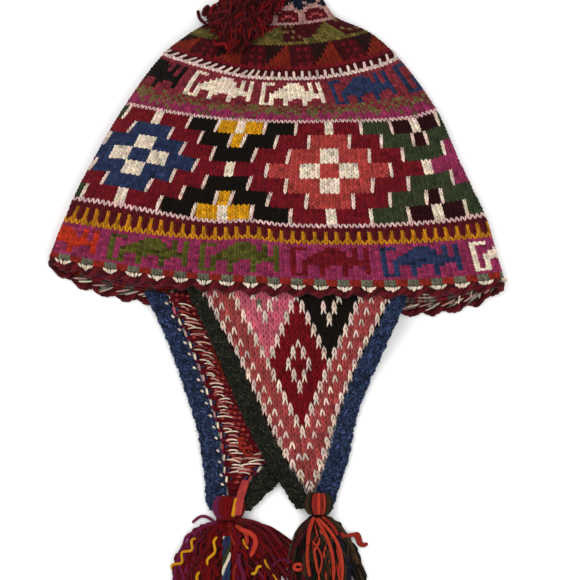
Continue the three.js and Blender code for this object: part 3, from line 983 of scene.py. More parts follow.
def rope(yarn, phase, tone):
    """One strand of the edging, its wine scaled by tone for the rope's painted shade and highlight"""
    u = np.linspace(0, AROUND, SCALLOPS * ROPE_STEPS + 1)
    place, outward = rim_line(u, WALL / 2)
    dip = np.cos(np.pi * (u - CUP_AT) / SCALLOP_WIDE) ** 2
    middle = place + UPWARD * (ROPE_JUNCTION + (ROPE_CUP - ROPE_JUNCTION) * dip)[:, None]
    angle = 2 * np.pi * (ROPE_TURNS * u / SCALLOP_WIDE + phase)
    path = middle + (outward * np.cos(angle)[:, None] + UPWARD * np.sin(angle)[:, None]) * ROPE_RADIUS
    path[:, 2] = np.maximum(path[:, 2], STRAND_RADIUS)
    uneven = rng.normal(0, ROPE_UNEVEN, len(u) + ROPE_SMOOTH - 1)
    uneven = np.convolve(uneven, np.full(ROPE_SMOOTH, 1 / ROPE_SMOOTH), mode="valid")
    yarn.add_rod(path, STRAND_RADIUS * (1 + uneven), outward, 7, dyed(["wine"]) * tone)
    start = path[rng.integers(0, len(u), ROPE_HAIRS), None]
    drift = unit(rng.normal(0, 1, (ROPE_HAIRS, 1, 3)))
    reach = STRAND_RADIUS + ROPE_HAIR * rng.uniform(*HAIR_RANGE, (ROPE_HAIRS, 1, 1))
    hairs = start + drift * reach + rng.normal(0, ROPE_HAIR_STRAY, (ROPE_HAIRS, 3, 3))
    thin = np.array([0, HAIR_RADIUS, 0])
    # Rose hairs paler than the wine rope: painted highlight on its fuzz
    yarn.add_rods(hairs, thin, thin, UPWARD, 3, dyed(["rose"] * ROPE_HAIRS, HAIR_SPREAD))


def wedges(yarn):
    """Cream stitches in the cup of each scallop, drawn together at their lower ends"""
    f = np.linspace(0, 1, len(WEDGE_SIZES))
    for spread in np.linspace(-1, 1, WEDGE_RODS):
        u = CUPS[:, None] + WEDGE_AT + spread * WEDGE_HALF * (1 - WEDGE_DRAWN * f)
        u = u + rng.normal(0, WEDGE_STRAY, (SCALLOPS, 1))
        place, outward = rim_line(u.ravel(), 0)
        clear = np.clip(1 + outward[:, 2:], 0, 1)
        bulge = WEDGE_SEAT + WEDGE_BULGE * np.sin(np.pi * (WEDGE_ARC[0] + WEDGE_ARC[1] * f))
        lift = np.tile(bulge, SCALLOPS)[:, None] * clear
        long = WEDGE_LONG * (1 - WEDGE_ROUND * spread**2) * rng.normal(1, WEDGE_UNEVEN, (SCALLOPS, 1))
        drop = (WEDGE_START - long * f).reshape(-1, 1)
        path = (place + outward * lift + UPWARD * drop).reshape(SCALLOPS, -1, 3)
        path[..., 2] = np.maximum(path[..., 2], FLOAT_RADIUS)
        facing = outward.reshape(SCALLOPS, -1, 3)
        yarn.add_rods(path, WEDGE_SIZES, WEDGE_SIZES, facing, 5, dyed(["cream"] * SCALLOPS))


# Floats inside the back rim: colour, first and last column from the cup, first and last height
RIM_FLOATS = (
    ("cream", -1.9, 1.0, 1.2, -2.4),
    ("grey_green", -1.3, 1.6, 0.4, -3.0),
    ("shell", -0.6, 2.3, 1.4, -1.6),
)
FOLD_DASHES = (82.4, 83.8, 85.4, 87.2)
DASH_WIDE = 0.3
DASH_RISE = (4.5, -1.5)
RIM_FLOAT_STRAY = 0.25
RIM_FLOAT_UNEVEN = 0.2
RIM_FLOAT_LIFT = 0.9
RIM_FLOAT_BOW = 0.5


def rim_floats(yarn):
    """Ends carried across the wrong side, seen inside the back rim, and dashes inside the right fold"""
    f = np.linspace(0, 1, 8)
    right = FOLDS["right"][0]
    slants = [
        (name, cup + a, cup + b, high, low)
        for cup in CUPS
        if cup > right
        for name, a, b, high, low in RIM_FLOATS
    ]
    slants += [("cream", at, at + DASH_WIDE, *DASH_RISE) for at in FOLD_DASHES]
    for name, start, end, high, low in slants:
        shift, steep = rng.normal(0, RIM_FLOAT_STRAY), rng.normal(1, RIM_FLOAT_UNEVEN)
        u = start + shift + (end - start) * f
        place, outward = rim_line(u, WALL)
        drop = high + (low - high) * f * steep
        lift = RIM_FLOAT_LIFT + RIM_FLOAT_BOW * np.sin(np.pi * f)
        path = place - outward * lift[:, None] + UPWARD * drop[:, None]
        yarn.add_rod(path, FLOAT_RADIUS * drawn_in(f), outward, 5, dyed([name]))


def edging():
    """Rope edging with its cream stitches"""
    yarn = Yarn()
    for strand, tone in enumerate(ROPE_SHADE_AND_HIGHLIGHT):
        rope(yarn, strand / len(ROPE_SHADE_AND_HIGHLIGHT), tone)
    wedges(yarn)
    rim_floats(yarn)
    return yarn.piece("edging_rope", CROCHET, "edging_yarn", "rim_edging")


edging()


# Flaps
FLAP_THICK = 3
BORDER_THICK = 6.5
BORDER_SEAT_THICK = 3
BORDER_SWELL = 12
EDGE_DROP = 6.2
NEAR_TUCK = 2.6
NEAR_PANEL_END = -121.2
NEAR_BORDER_END = -131
NEAR_LIFT_RUN = 58
NEAR_SEAT_DROP = 4.05
FAR_TUCK = -1.5
FAR_PANEL_END = -124
FAR_BORDER_END = -132
FAR_LIFT_START = 7.3
FAR_LIFT_RUN = 11
FAR_SEAT = 4.9
OVER_PANEL = 3.5
OVER_BORDER = 6.9
OVER_RISE = 12
OVER_INSET = 14
OVER_FALL = 14
NEAR_FLAP = table(
    "y outer_left panel_left panel_right outer_right",
    (-3.6, -54.4, -45, 69.6, 80.8),
    (-21, -44.6, -35.2, 62, 72.6),
    (-44.4, -33.2, -21.4, 49.6, 61.8),
    (-75, -19.6, -6.4, 38, 49.2),
    (-99, -7.2, 5.2, 31, 44.4),
    (-114, 2.4, 15, 26.2, 39.6),
    (-121.2, 6.6, 19, 23.4, 37.2),
    (-131, 13, 21, 22.5, 34.4),
)
FAR_FLAP = table(
    "y outer_left panel_left panel_right outer_right",
    (-10.8, -78.2, -65, 58, 70.8),
    (-34.8, -65, -52.2, 43.8, 56.4),
    (-63.6, -53.4, -40.8, 24, 37.2),
    (-85.2, -46.2, -33.6, 9.6, 22.8),
    (-99.6, -43.8, -31.2, -2, 12),
    (-114, -41.6, -29.4, -15, 3.4),
    (-124.8, -41.4, -27.5, -23, -8),
    (-132, -39, -27, -24, -15),
)
RIM = {name: float(value) for name, value in round_at(np.float64(0)).items()}


def near_top(x):
    return line_y(RIM, x, "front") - NEAR_TUCK


def far_top(x):
    return line_y(RIM, x, "back") - FAR_TUCK


def far_under(x, y):
    """Underside of the far flap: over the edging, then on the floor"""
    below = line_y(RIM, x, "back") - y
    return FAR_SEAT * (1 - ease((below - FAR_LIFT_START) / FAR_LIFT_RUN))


def near_under(x, y):
    """Underside of the near flap: from below the edging down to the far flap and the floor beside it"""
    t = np.clip((x - RIM["middle"]) / RIM["half"], -1, 1)
    seat = front_point(np.zeros_like(t), t, 0)[..., 2] - NEAR_SEAT_DROP - FLAP_THICK
    climb = ease((x - column(FAR_FLAP, "y", "panel_right", y) + OVER_INSET) / OVER_RISE)
    ride = OVER_PANEL + (OVER_BORDER - OVER_PANEL) * climb
    rest = ride * (1 - ease((x - column(FAR_FLAP, "y", "outer_right", y)) / OVER_FALL))
    drop = ease((near_top(x) - y) / NEAR_LIFT_RUN)
    return seat + (rest - seat) * drop


class Flap:
    """A flap between the rim and its tassel"""

    def __init__(self, rows, top, under, panel_end, border_end):
        self.rows, self.top, self.under = rows, top, under
        self.panel_end, self.border_end = panel_end, border_end
        self.start = rows["y"][0]

    def level(self, f, end, x):
        """Level at a share of the length: the top follows the rim, lower down it straightens"""
        return self.start + (end - self.start) * f + (self.top(x) - self.start) * (1 - f) ** 2

    def across(self, f, end, share, from_name, to_name):
        """x at a share of the width between two sides"""
        nominal = self.start + (end - self.start) * f
        low = column(self.rows, "y", from_name, nominal)
        high = column(self.rows, "y", to_name, nominal)
        return low + (high - low) * share

    def panel(self, f, share, lift):
        """Place on the panel, lift above its underside"""
        x = self.across(f, self.panel_end, share, "panel_left", "panel_right")
        y = self.level(f, self.panel_end, x)
        return np.stack([x, y, self.under(x, y) + lift], -1)

    def border(self, f, across, up, from_name, to_name):
        """Place on or in a border, across and up as shares of its width and thickness"""
        x = self.across(f, self.border_end, 0.5 + across, from_name, to_name)
        y = self.level(f, self.border_end, x)
        swell = ease((self.top(x) - y - EDGE_DROP) / BORDER_SWELL)
        thick = BORDER_SEAT_THICK + (BORDER_THICK - BORDER_SEAT_THICK) * swell
        return np.stack([x, y, self.under(x, y) + thick * up], -1)


NEAR = Flap(NEAR_FLAP, near_top, near_under, NEAR_PANEL_END, NEAR_BORDER_END)
FAR = Flap(FAR_FLAP, far_top, far_under, FAR_PANEL_END, FAR_BORDER_END)

# Chart of a flap: two rows make a pair, and each pair is one stitch narrower on both sides
FLAP_ROWS = 34
FLAP_HALF = 17
FLAP_TRIM = 0.05
FLAP_LEAST = 0.6
FLAP_GRID = (147, 161)
FLAP_START = 0.05
FLAP_FIRST = -2
FLAP_REACH = 1.3
FLAP_SLIM = 0.8
FLAP_TICK_SLIM = 0.64
RING = {3: 0, 4: 1, 5: 2, 6: 1, 7: 0}
BAND_WIDE = 5
LEFT_DASH = 2
RIGHT_DASH = 3
MARK_MIDDLE = 6
LOST_MARK = 4
GREY_MARK = -7
POINT_PAIR = 5


def flap_ground(row, c):
    """Ground colour of a flap, c counted from its middle"""
    pair, off = row // 2, abs(c)
    if off > FLAP_HALF - 1 - BAND_WIDE - pair:
        return "flap_red"
    if off <= pair + 1:
        return "deep_red"
    return "pink" if c < 0 else "black"


def flap_chart(row, c):
    """Colour of a flap's stitch: dashed bands along its sides, a ringed wedge and small marks beside it"""
    pair, off = row // 2, abs(c)
    band = FLAP_HALF - 1 - pair - off
    dash = LEFT_DASH if c < 0 else RIGHT_DASH
    if band <= 0 or band == BAND_WIDE or (band == dash and row % 2):
        return "tick"
    wedge = off == pair + 1 and pair <= POINT_PAIR
    ringed = RING.get(pair) == off and (pair != min(RING) or row % 2)
    if band > BAND_WIDE and (wedge or ringed):
        return "tick"
    if abs(off - MARK_MIDDLE) == 1 - pair and c != LOST_MARK:
        return "grey_green" if row == 0 and c == GREY_MARK else "tick"
    return flap_ground(row, c)


def flap_half(row):
    """Stitches from the middle of a flap to its side"""
    return FLAP_HALF - FLAP_TRIM - row / 2


def flap_surface(flap, lift, flip):
    """Surface of a flap over rows and stitches from the middle"""
    rows = np.linspace(FLAP_FIRST - 0.5, FLAP_ROWS, FLAP_GRID[0])
    shares = np.linspace(-FLAP_REACH, FLAP_REACH, FLAP_GRID[1])
    f = FLAP_START + (1 - FLAP_START) * rows / FLAP_ROWS
    places = flap.panel(f[:, None], (shares[None, :] + 1) / 2, lift)
    surface = Surface(rows, shares, places, False)
    surface.normals *= np.where(surface.normals[..., 2:] * flip < 0, -1, 1)
    return surface


class FlapGrid:
    """Looks up a flap's surface by row and stitch instead of share of the width"""

    def __init__(self, surface):
        self.surface = surface

    def at(self, row, c):
        half = np.maximum(flap_half(np.clip(row, FLAP_FIRST, FLAP_ROWS)), FLAP_LEAST)
        return self.surface.at(row, np.clip(c / half, -FLAP_REACH, FLAP_REACH))


def flap_stitches():
    """Rows, places and colours of a flap's stitches"""
    stitches = []
    for row in range(FLAP_FIRST, FLAP_ROWS):
        edge = max(FLAP_HALF - 1 - row // 2, 0)
        stitches += [(row, c, flap_chart(row, c)) for c in range(-edge, edge + 1)]
    rows, places, names = zip(*stitches)
    return np.array(rows, float), np.array(places, float), np.array(names)


CLOTH_GRID = (69, 67)
CLOTH_EDGE = 0.01
CLOTH_INSET = 1


def flap_cloth(name, flap, slot, node, ground):
    """Cloth of a panel under its stitches, a thin closed sheet coloured by ground from row and stitch,
    darkened as painted shade between the stitches
    """
    f = np.linspace(0, 1, CLOTH_GRID[0])[:, None]
    share = np.linspace(CLOTH_EDGE, 1 - CLOTH_EDGE, CLOTH_GRID[1])[None, :]
    top = flap.panel(f, share, FLAP_THICK - CLOTH_INSET)
    under = flap.panel(f, share, CLOTH_INSET)
    ring = np.concatenate([top, under[:, ::-1]], axis=1)
    points, faces = grid(ring[:, ::-1], True)
    count = ring.shape[1]
    k = np.arange(count // 2 - 1)
    cap = np.stack([k, k + 1, count - 2 - k, count - 1 - k], 1)
    last = (len(ring) - 1) * count
    dye = np.empty(top.shape)
    rows = np.floor((f[:, 0] - FLAP_START) / (1 - FLAP_START) * FLAP_ROWS).astype(int)
    for i, row in enumerate(np.minimum(rows, FLAP_ROWS - 1)):
        half = max(flap_half(row), FLAP_LEAST)
        for j, side in enumerate(np.round((2 * share[0] - 1) * half).astype(int)):
            dye[i, j] = DYE[ground(row, side)]
    shades = np.concatenate([dye, dye[:, ::-1]], axis=1)[:, ::-1].reshape(-1, 3) * PAINTED_SHADE
    yarn = Yarn()
    yarn.add(points, faces + [cap[:, ::-1], cap + last], shades)
    return yarn.piece(name, KNIT, slot, node)


def far_ground(row, c):
    return "crimson"


# Bumps of the wrong side, and of each flap their half width, depth and number of sides
PURL = table("across up lift size", (-0.6, 0.5, 0, 0), (0, 0.38, 0.3, 1), (0.6, 0.5, 0, 0))
PURL_STRAY = 0.08
PURL_FLAT = 0.75
NEAR_PURL = (1.2, -0.9, 4)
FAR_PURL = (1.25, -0.5, 5)
FAR_SPREAD = 2
FLAP_LEG_DEPTH = -0.55


def purl(yarn, surface, rows, places, colours, half, depth, sides):
    """Bumps of the wrong side, one for each stitch"""
    jitter = rng.normal(0, PURL_STRAY, (len(rows), 1))
    place, normal = surface.at(rows[:, None] + PURL["up"] + jitter, places[:, None] + PURL["across"])
    paths = place + normal * (PURL["lift"] + depth)[..., None]
    size = PURL["size"] * half
    yarn.add_rods(paths, size, size * PURL_FLAT, normal, sides, colours)


def near_panel():
    """Near flap, its right side up"""
    cloth = flap_cloth("near_flap_cloth", NEAR, "near_panel_knit", "near_flap_panel", flap_ground)
    rows, places, names = flap_stitches()
    colours = dyed(names)
    even = np.ones(len(rows))
    slims = np.where(names == "tick", FLAP_TICK_SLIM, FLAP_SLIM)
    top = FlapGrid(flap_surface(NEAR, FLAP_THICK, 1))
    yarn = Yarn()
    knit(yarn, top, rows, places, even, slims, colours, LEG, FLAP_LEG_DEPTH, 6)
    below = FlapGrid(flap_surface(NEAR, 0, -1))
    purl(yarn, below, rows, places, dyed(names, INSIDE_SPREAD), *NEAR_PURL)
    stitches = yarn.piece("near_flap_stitches", KNIT, "near_panel_knit")
    return cloth, stitches


# Loose ends across the wrong side: pairs of rows that have them, colours, reach and spacing
FLOAT_PAIRS = 15
FLOAT_STEPS = 7
FLOAT_YARN = ("cream", "block_red", "shell", "flap_red", "cream")
FLOAT_INNER = 2.8
FLOAT_INNER_STRAY = 0.5
FLOAT_OUTER = 0.2
FLOAT_OUTER_STRAY = 0.4
FLOAT_FIRST = 0.2
FLOAT_STEP = 0.36
FLOAT_STRAY = 0.12
FLOAT_SLANT = (0.3, 0.3)
FLOAT_SAG = 0.3
FLOAT_LIFT = 0.8
FLOAT_LOOSE = 0.5
FLOAT_THIN = 0.48


def floats(yarn, surface):
    """Loose ends carried across the wrong side of the band along both sides of a flap"""
    f = np.linspace(0, 1, FLOAT_STEPS)
    for side in (-1, 1):
        for pair in range(FLOAT_PAIRS):
            edge = FLAP_HALF - 1 - pair
            for strand, colour in enumerate(FLOAT_YARN):
                inner = max(edge - FLOAT_INNER + rng.normal(0, FLOAT_INNER_STRAY), -edge / 2)
                outer = edge - FLOAT_OUTER + rng.normal(0, FLOAT_OUTER_STRAY)
                slant = rng.normal(*FLOAT_SLANT) * (f - 0.5) - FLOAT_SAG * np.sin(np.pi * f)
                row = 2 * pair + FLOAT_FIRST + FLOAT_STEP * strand + rng.normal(0, FLOAT_STRAY) + slant
                across = side * (outer + (inner - outer) * f)
                lift = FLOAT_LIFT + rng.uniform(0, FLOAT_LOOSE)
                lay(yarn, surface, row, across, lift, FLOAT_THIN, colour)


# Ends that sew the far flap to its borders: colour, start and length up, place and slant across, lift, size
SEAM_STRAY = 0.15
SEAM_COLOURS = ("cream", "shell", "pink", "shell", "cream", "flap_red")
SEAM_ENDS = (
    ("", 0, 1.5, 0.75, 0.5, 2.2, 0.8),
    ("purple", 1.1, 0.9, 0.3, 0.3, 1, 0.85),
    ("border_blue", 0.2, 0.9, 0.1, 0.3, 0.9, 0.7),
)


def seam(yarn, surface):
    """Upright dashes with purple and blue bits between them"""
    f = np.linspace(0, 1, 5)
    for side in (-1, 1):
        for pair in range(FLOAT_PAIRS + 1):
            edge = FLAP_HALF - 1 - pair
            row = 2 * pair + rng.normal(0, SEAM_STRAY)
            dash = SEAM_COLOURS[rng.integers(len(SEAM_COLOURS))]
            for colour, up, long, out, slant, lift, radius in SEAM_ENDS:
                across = side * (edge + out - slant * f)
                lay(yarn, surface, row + up + long * f, across, lift, radius, colour or dash)


# Rust-coloured strand along the near flap's border, painted shading of the far flap's surface beside it,
# and red loops low on the far flap, as places on the page
BORDER_SHADE_LINE = table("at x y", (0, -41.4, -18), (1, -38, -33), (2, -33, -46), (3, -28.2, -57))
RED_LOOPS = ((-16, -96.6, 2.7), (-19, -93.5, 2), (-20, -90, 1.6))
BORDER_SHADE_LIFT = 0.5
BORDER_SHADE_RADIUS = 0.8
LOOP_HEIGHT = 5
LOOP_RADIUS = 1.1
LOOP_FLAT = 0.8
LOOP_TWIST = 0.2


def shade_line_and_loops(yarn):
    """A rust-coloured strand along the near flap's border, painted shading of the far flap, and red loops
    that lie loose on it
    """
    at = np.linspace(0, BORDER_SHADE_LINE["at"][-1], 12)
    x, y = [np.interp(at, BORDER_SHADE_LINE["at"], BORDER_SHADE_LINE[name]) for name in "xy"]
    path = np.column_stack([x, y, far_under(x, y) + FLAP_THICK + BORDER_SHADE_LIFT])
    add_strand(yarn, path, BORDER_SHADE_RADIUS, "rust")
    turn = np.linspace(0, 2 * np.pi, 13)
    around = np.column_stack([np.cos(turn), LOOP_FLAT * np.sin(turn), LOOP_TWIST * np.sin(2 * turn)])
    for x, y, size in RED_LOOPS:
        add_strand(yarn, np.array([x, y, LOOP_HEIGHT]) + size * around, LOOP_RADIUS, "block_red")


def far_panel():
    """Far flap, its wrong side up"""
    cloth = flap_cloth("far_flap_cloth", FAR, "far_panel_knit", "far_flap_panel", far_ground)
    rows, places, names = flap_stitches()
    shown = np.where(names == "tick", "crimson", np.where(names == "flap_red", "salmon", names))
    top = FlapGrid(flap_surface(FAR, FLAP_THICK, 1))
    yarn = Yarn()
    purl(yarn, top, rows, places, dyed(shown, FAR_SPREAD), *FAR_PURL)
    floats(yarn, top)
    seam(yarn, top)
    shade_line_and_loops(yarn)
    below = FlapGrid(flap_surface(FAR, 0, -1))
    even = np.ones(len(rows))
    knit(yarn, below, rows, places, even, even, dyed(names), SHORT_LEG, BACK_DEPTH, 4)
    stitches = yarn.piece("far_flap_stitches", KNIT, "far_panel_knit")
    return cloth, stitches


# Borders: crochet in thick fuzzy wool, its curls lying every way
BORDER_BEND = 0.8
PANEL_TRIM = 0.1
BORDER_LONG = 125
BORDER_GIRTH = 32
BORDER_GRID = (121, 48)
CORE_INSET = 0.9
CORE_STEPS = (4, 2)
CURLS = 2200
CURL = table(
    "along lift size",
    (-1, -0.8, 0), (-0.55, -0.05, 0.85), (0, 0.2, 1), (0.55, -0.05, 0.85), (1, -0.8, 0),
)
CURL_HALF = 1.2
CURL_RANGE = (0.7, 1.3)
CURL_ARC = (-0.05, 1.05)
CURL_BEND = 0.5
CURL_MIDDLE = 0.4
CURL_SINK = -0.25
CURL_LOOSE = 0.2
CURL_UNEVEN = 0.15
CURL_RADIUS = 0.62
CURLS_UNDER = 0.25
BORDER_SPREAD = 3.6
LUMPS = 17
LUMP_HEIGHT = 0.3
HAIRS = 2000
HAIR_LONG = 1.5
DOTS = 17
DOT_START = 0.8
DOT_LONG = 0.006
DOT_STRAY = 0.003
DOT_ANGLE = 0.28 * np.pi
DOT_TURN = 0.16
DOT_LIFT = 1.1
DOT_RADIUS = 0.7
LEFT_SIDE = ("outer_left", "panel_left")
RIGHT_SIDE = ("panel_right", "outer_right")


def section(angle):
    """Across and up of a border's rounded section, as shares"""
    c, s = np.cos(angle), np.sin(angle)
    across = 0.5 * np.sign(c) * np.abs(c) ** BORDER_BEND
    return across, 0.5 + 0.5 * np.sign(s) * np.abs(s) ** BORDER_BEND


def border_surface(flap, from_name, to_name):
    """Surface of a border over the share of its length and the angle round it, kept off the panel"""
    f = np.linspace(0, 1, BORDER_GRID[0])
    angle = 2 * np.pi * np.arange(BORDER_GRID[1]) / BORDER_GRID[1]
    across, up = section(angle)
    outward = -1 if to_name.startswith("panel") else 1
    across = across * (1 - PANEL_TRIM) + outward * PANEL_TRIM / 2
    places = flap.border(f[:, None], across[None, :], up[None, :], from_name, to_name)
    surface = Surface(f, angle, places, True)
    middle = places.mean(axis=1, keepdims=True)
    out = np.sum(surface.normals * (places - middle), axis=-1, keepdims=True)
    surface.normals *= np.where(out < 0, -1, 1)
    return surface


def curls(yarn, surface, colour):
    """Short bent ends all over a border, swelling into lumps along it"""
    f0 = (np.arange(CURLS) + rng.uniform(0, 1, CURLS)) / CURLS
    a0 = np.pi * rng.uniform(*CURL_ARC, CURLS)
    a0 = np.where(rng.uniform(0, 1, CURLS) < CURLS_UNDER, -a0, a0)
    turn = rng.uniform(0, np.pi, CURLS)
    long = CURL_HALF * rng.uniform(*CURL_RANGE, (CURLS, 1))
    along = CURL["along"]
    bend = rng.normal(0, CURL_BEND, (CURLS, 1)) * (along**2 - CURL_MIDDLE)
    ahead = long * (along * np.cos(turn)[:, None] - bend * np.sin(turn)[:, None])
    aside = long * (along * np.sin(turn)[:, None] + bend * np.cos(turn)[:, None])
    f = np.clip(f0[:, None] + ahead / BORDER_LONG, 0, 1)
    place, normal = surface.at(f, a0[:, None] + aside * 2 * np.pi / BORDER_GIRTH)
    lump = LUMP_HEIGHT * np.sin(2 * np.pi * LUMPS * f)
    lift = CURL["lift"] + rng.normal(CURL_SINK, CURL_LOOSE, (CURLS, 1)) + lump
    paths = place + normal * lift[..., None]
    paths[..., 2] = np.maximum(paths[..., 2], CURL_RADIUS)
    size = CURL_RADIUS * CURL["size"] * rng.normal(1, CURL_UNEVEN, (CURLS, 1))
    yarn.add_rods(paths, size, size, normal, 3, dyed([colour] * CURLS, BORDER_SPREAD))


def dots(yarn, surface):
    """White ends that catch a border to its panel"""
    f = np.linspace(-1, 1, 5)
    for k in range(DOTS):
        at = (k + DOT_START) / (DOTS + 1) + DOT_LONG * f + rng.normal(0, DOT_STRAY)
        lay(yarn, surface, at, DOT_ANGLE - DOT_TURN * f, DOT_LIFT, DOT_RADIUS, "cream")


def border(flap, side, of, hue, dotted=False):
    """One crocheted border: a core, darkened as painted shade under the curls, with curls and hairs over it
    """
    colour = f"border_{hue}"
    surface = border_surface(flap, *side)
    yarn = Yarn()
    core = surface.places - surface.normals * CORE_INSET
    points, faces = grid(core[:: CORE_STEPS[0], :: CORE_STEPS[1]], True)
    yarn.add(points, faces, DYE[colour] * PAINTED_SHADE)
    curls(yarn, surface, colour)
    fuzz(yarn, surface, HAIRS, HAIR_LONG, HAIR_RADIUS, colour)
    if dotted:
        dots(yarn, surface)
    return yarn.piece(f"{of}_{hue}_crochet", CROCHET, f"{hue}_yarn", f"{of}_flap_{hue}_border")


near_cloth, near_stitches = near_panel()
far_cloth, far_stitches = far_panel()
near_green = border(NEAR, LEFT_SIDE, "near", "green")
near_blue = border(NEAR, RIGHT_SIDE, "near", "blue")
far_blue = border(FAR, LEFT_SIDE, "far", "blue", dotted=True)
far_green = border(FAR, RIGHT_SIDE, "far", "green")


# Tassels
NEAR_ENDS = table(
    "at x y",
    (0, 13.5, -184), (1, 17.5, -193), (2, 24, -197), (3, 32, -198), (4, 40, -196), (5, 48, -191),
    (6, 55, -180),
)
FAR_ENDS = table(
    "at x y",
    (0, -62, -181), (1, -55, -189), (2, -46.5, -195), (3, -39, -198), (4, -29, -199), (5, -19, -198),
    (6, -8, -196), (7, 3, -186),
)
TOP_ENDS = table(
    "at x y",
    (0, -41, 164), (1, -40, 159), (2, -36, 150), (3, -29, 142), (4, -19, 142), (5, -9, 151),
    (6, 1, 163), (7, 9, 174),
)

# Strands: spread at the neck, swing and its ripple, how the pile falls, and shares of the length they take
NECK_SPREAD = 0.7
SWING = (0.4, 1.3)
SWING_RUN = 0.3
SWING_LIFT = 0.5
RIPPLE = 0.35
PILE_FALL = 0.55
PILE_CREST = 0.45
PILE_EDGE = 0.12
PILE_WIDE = 0.8
SHOULDER_RUN = 0.4
FAN_REACH = (0.9, 1.03)
FAN_STRAY = 0.03
FAN_HIGH = 0.7
FAN_SIZES = (0.85, 1.15)
HEAD_RADIUS = 1
HEAD_ENDS = 30
HEAD_STRAY = 0.04
HEAD_LEAN = np.pi * np.linspace(0.19, 0.84, 11)
HEAD_STRETCH = 1.08
BALL_GRID = (9, 12)
WOUND_RADIUS = 0.6
WOUND_TURNS = 3
WOUND_STEPS = 24
WOUND_RISE = 1.2
WOUND_PITCH = 0.8
WOUND_FLAT = 0.8


class Tassel:
    """A tassel: head, neck, shoulder, the fan of its ends and how its strands curl"""

    def __init__(
        self, head, radii, neck, out, down, ends, curl, pile=9, steps=26, waves=(1.2, 3), ripples=(4, 6)
    ):
        self.head, self.radii, self.neck = np.array(head), np.array(radii), np.array(neck)
        self.out, self.down, self.ends, self.curl, self.pile = out, down, ends, curl, pile
        self.steps, self.waves, self.ripples = steps, waves, ripples

    def strand(self, share, reach, height, radius, floor):
        """Path of one strand: share across the fan, reach along it, height in the pile"""
        last = self.ends["at"][-1]
        end = np.array([column(self.ends, "at", name, share * last) for name in "xy"])
        neck = self.neck[:2]
        end = neck + (end - neck) * reach
        over = neck + (end - neck) * np.array([self.out, self.down])
        side = np.array([end[1] - neck[1], neck[0] - end[0]])
        side /= np.linalg.norm(side)
        start = neck + np.array([1, 0]) * (share - 0.5) * NECK_SPREAD * self.radii[0]
        f = np.linspace(0, 1, self.steps)
        flat = ((1 - f) ** 2)[:, None] * start + (2 * f * (1 - f))[:, None] * over + (f**2)[:, None] * end
        turn = 2 * np.pi * (rng.uniform(*self.waves) * f + rng.uniform())
        ripple = 2 * np.pi * (rng.uniform(*self.ripples) * f + rng.uniform())
        swing = self.curl * rng.uniform(*SWING) * ease(f / SWING_RUN)
        flat = flat + side * (swing * (np.sin(turn) + RIPPLE * np.sin(ripple)))[:, None]
        crest = np.sin(np.pi * np.clip(PILE_EDGE + PILE_WIDE * share, 0, 1))
        stack = self.pile * crest * (1 - PILE_FALL * ease((f - PILE_CREST) / (1 - PILE_CREST)))
        ground = floor(flat[:, 0], flat[:, 1]) + radius
        level_at = ground + height * stack + SWING_LIFT * swing * np.abs(np.cos(turn))
        z = self.neck[2] + (level_at - self.neck[2]) * ease(f / SHOULDER_RUN)
        return np.column_stack([flat, np.maximum(z, ground)])

    def on_head(self, lean, angle, radii, stretch=1):
        """Place over the head, lean from the flap's tip to the neck and angle round it"""
        x = self.head[0] + radii[0] * np.sin(lean) * np.cos(angle)
        y = self.head[1] + radii[1] * np.cos(lean) * stretch + 0 * angle
        z = self.head[2] + radii[2] * np.sin(lean) * np.sin(angle)
        return np.stack([x, y, z], -1)


def fan(yarn, tassel, count, radius, pick, floor):
    """Strands spread over the fan, coloured by pick from their place"""
    for k in range(count):
        share = np.clip((k + 0.5) / count + rng.normal(0, FAN_STRAY), 0.0, 1.0)
        height = rng.uniform(0, 1) ** FAN_HIGH
        size = radius * rng.uniform(*FAN_SIZES)
        path = tassel.strand(share, rng.uniform(*FAN_REACH), height, size, floor)
        add_strand(yarn, path, size, pick(share, height), 5)


def head(yarn, tassel, pick):
    """Yarn drawn over the head and the ball under it, the ball darkened as painted shade under the strands
    """
    for k in range(HEAD_ENDS):
        angle = 2 * np.pi * (k + 0.5) / HEAD_ENDS + rng.normal(0, HEAD_STRAY)
        path = tassel.on_head(HEAD_LEAN, angle, tassel.radii, HEAD_STRETCH)
        path[:, 2] = np.maximum(path[:, 2], HEAD_RADIUS)
        add_strand(yarn, path, HEAD_RADIUS, pick(angle), 7)
    lean = np.linspace(0, np.pi, BALL_GRID[0])[:, None]
    angle = 2 * np.pi * np.arange(BALL_GRID[1])[None, :] / BALL_GRID[1]
    ball = tassel.on_head(lean, angle, tassel.radii - HEAD_RADIUS)
    points, faces = grid(ball[:, ::-1], True)
    yarn.add(points, faces, DYE[pick(np.pi / 2)] * PAINTED_SHADE)


def winding(yarn, tassel, colour):
    """Thread wound round the neck"""
    f = np.linspace(0, 1, WOUND_STEPS * WOUND_TURNS)
    angle = 2 * np.pi * WOUND_TURNS * f
    x = tassel.neck[0] + tassel.radii[0] * NECK_SPREAD * np.cos(angle)
    y = tassel.neck[1] + WOUND_RISE + WOUND_PITCH * WOUND_TURNS * (0.5 - f)
    z = np.maximum(tassel.neck[2] + tassel.radii[2] * WOUND_FLAT * np.sin(angle), WOUND_RADIUS)
    yarn.add_rod(np.column_stack([x, y, z]), WOUND_RADIUS, UPWARD, 5, dyed([colour]))


def on_floor(x, y):
    return np.zeros_like(x)


# Cells of a map of heights over the page
MAP_HALF = 220
MAP_CELL = 2


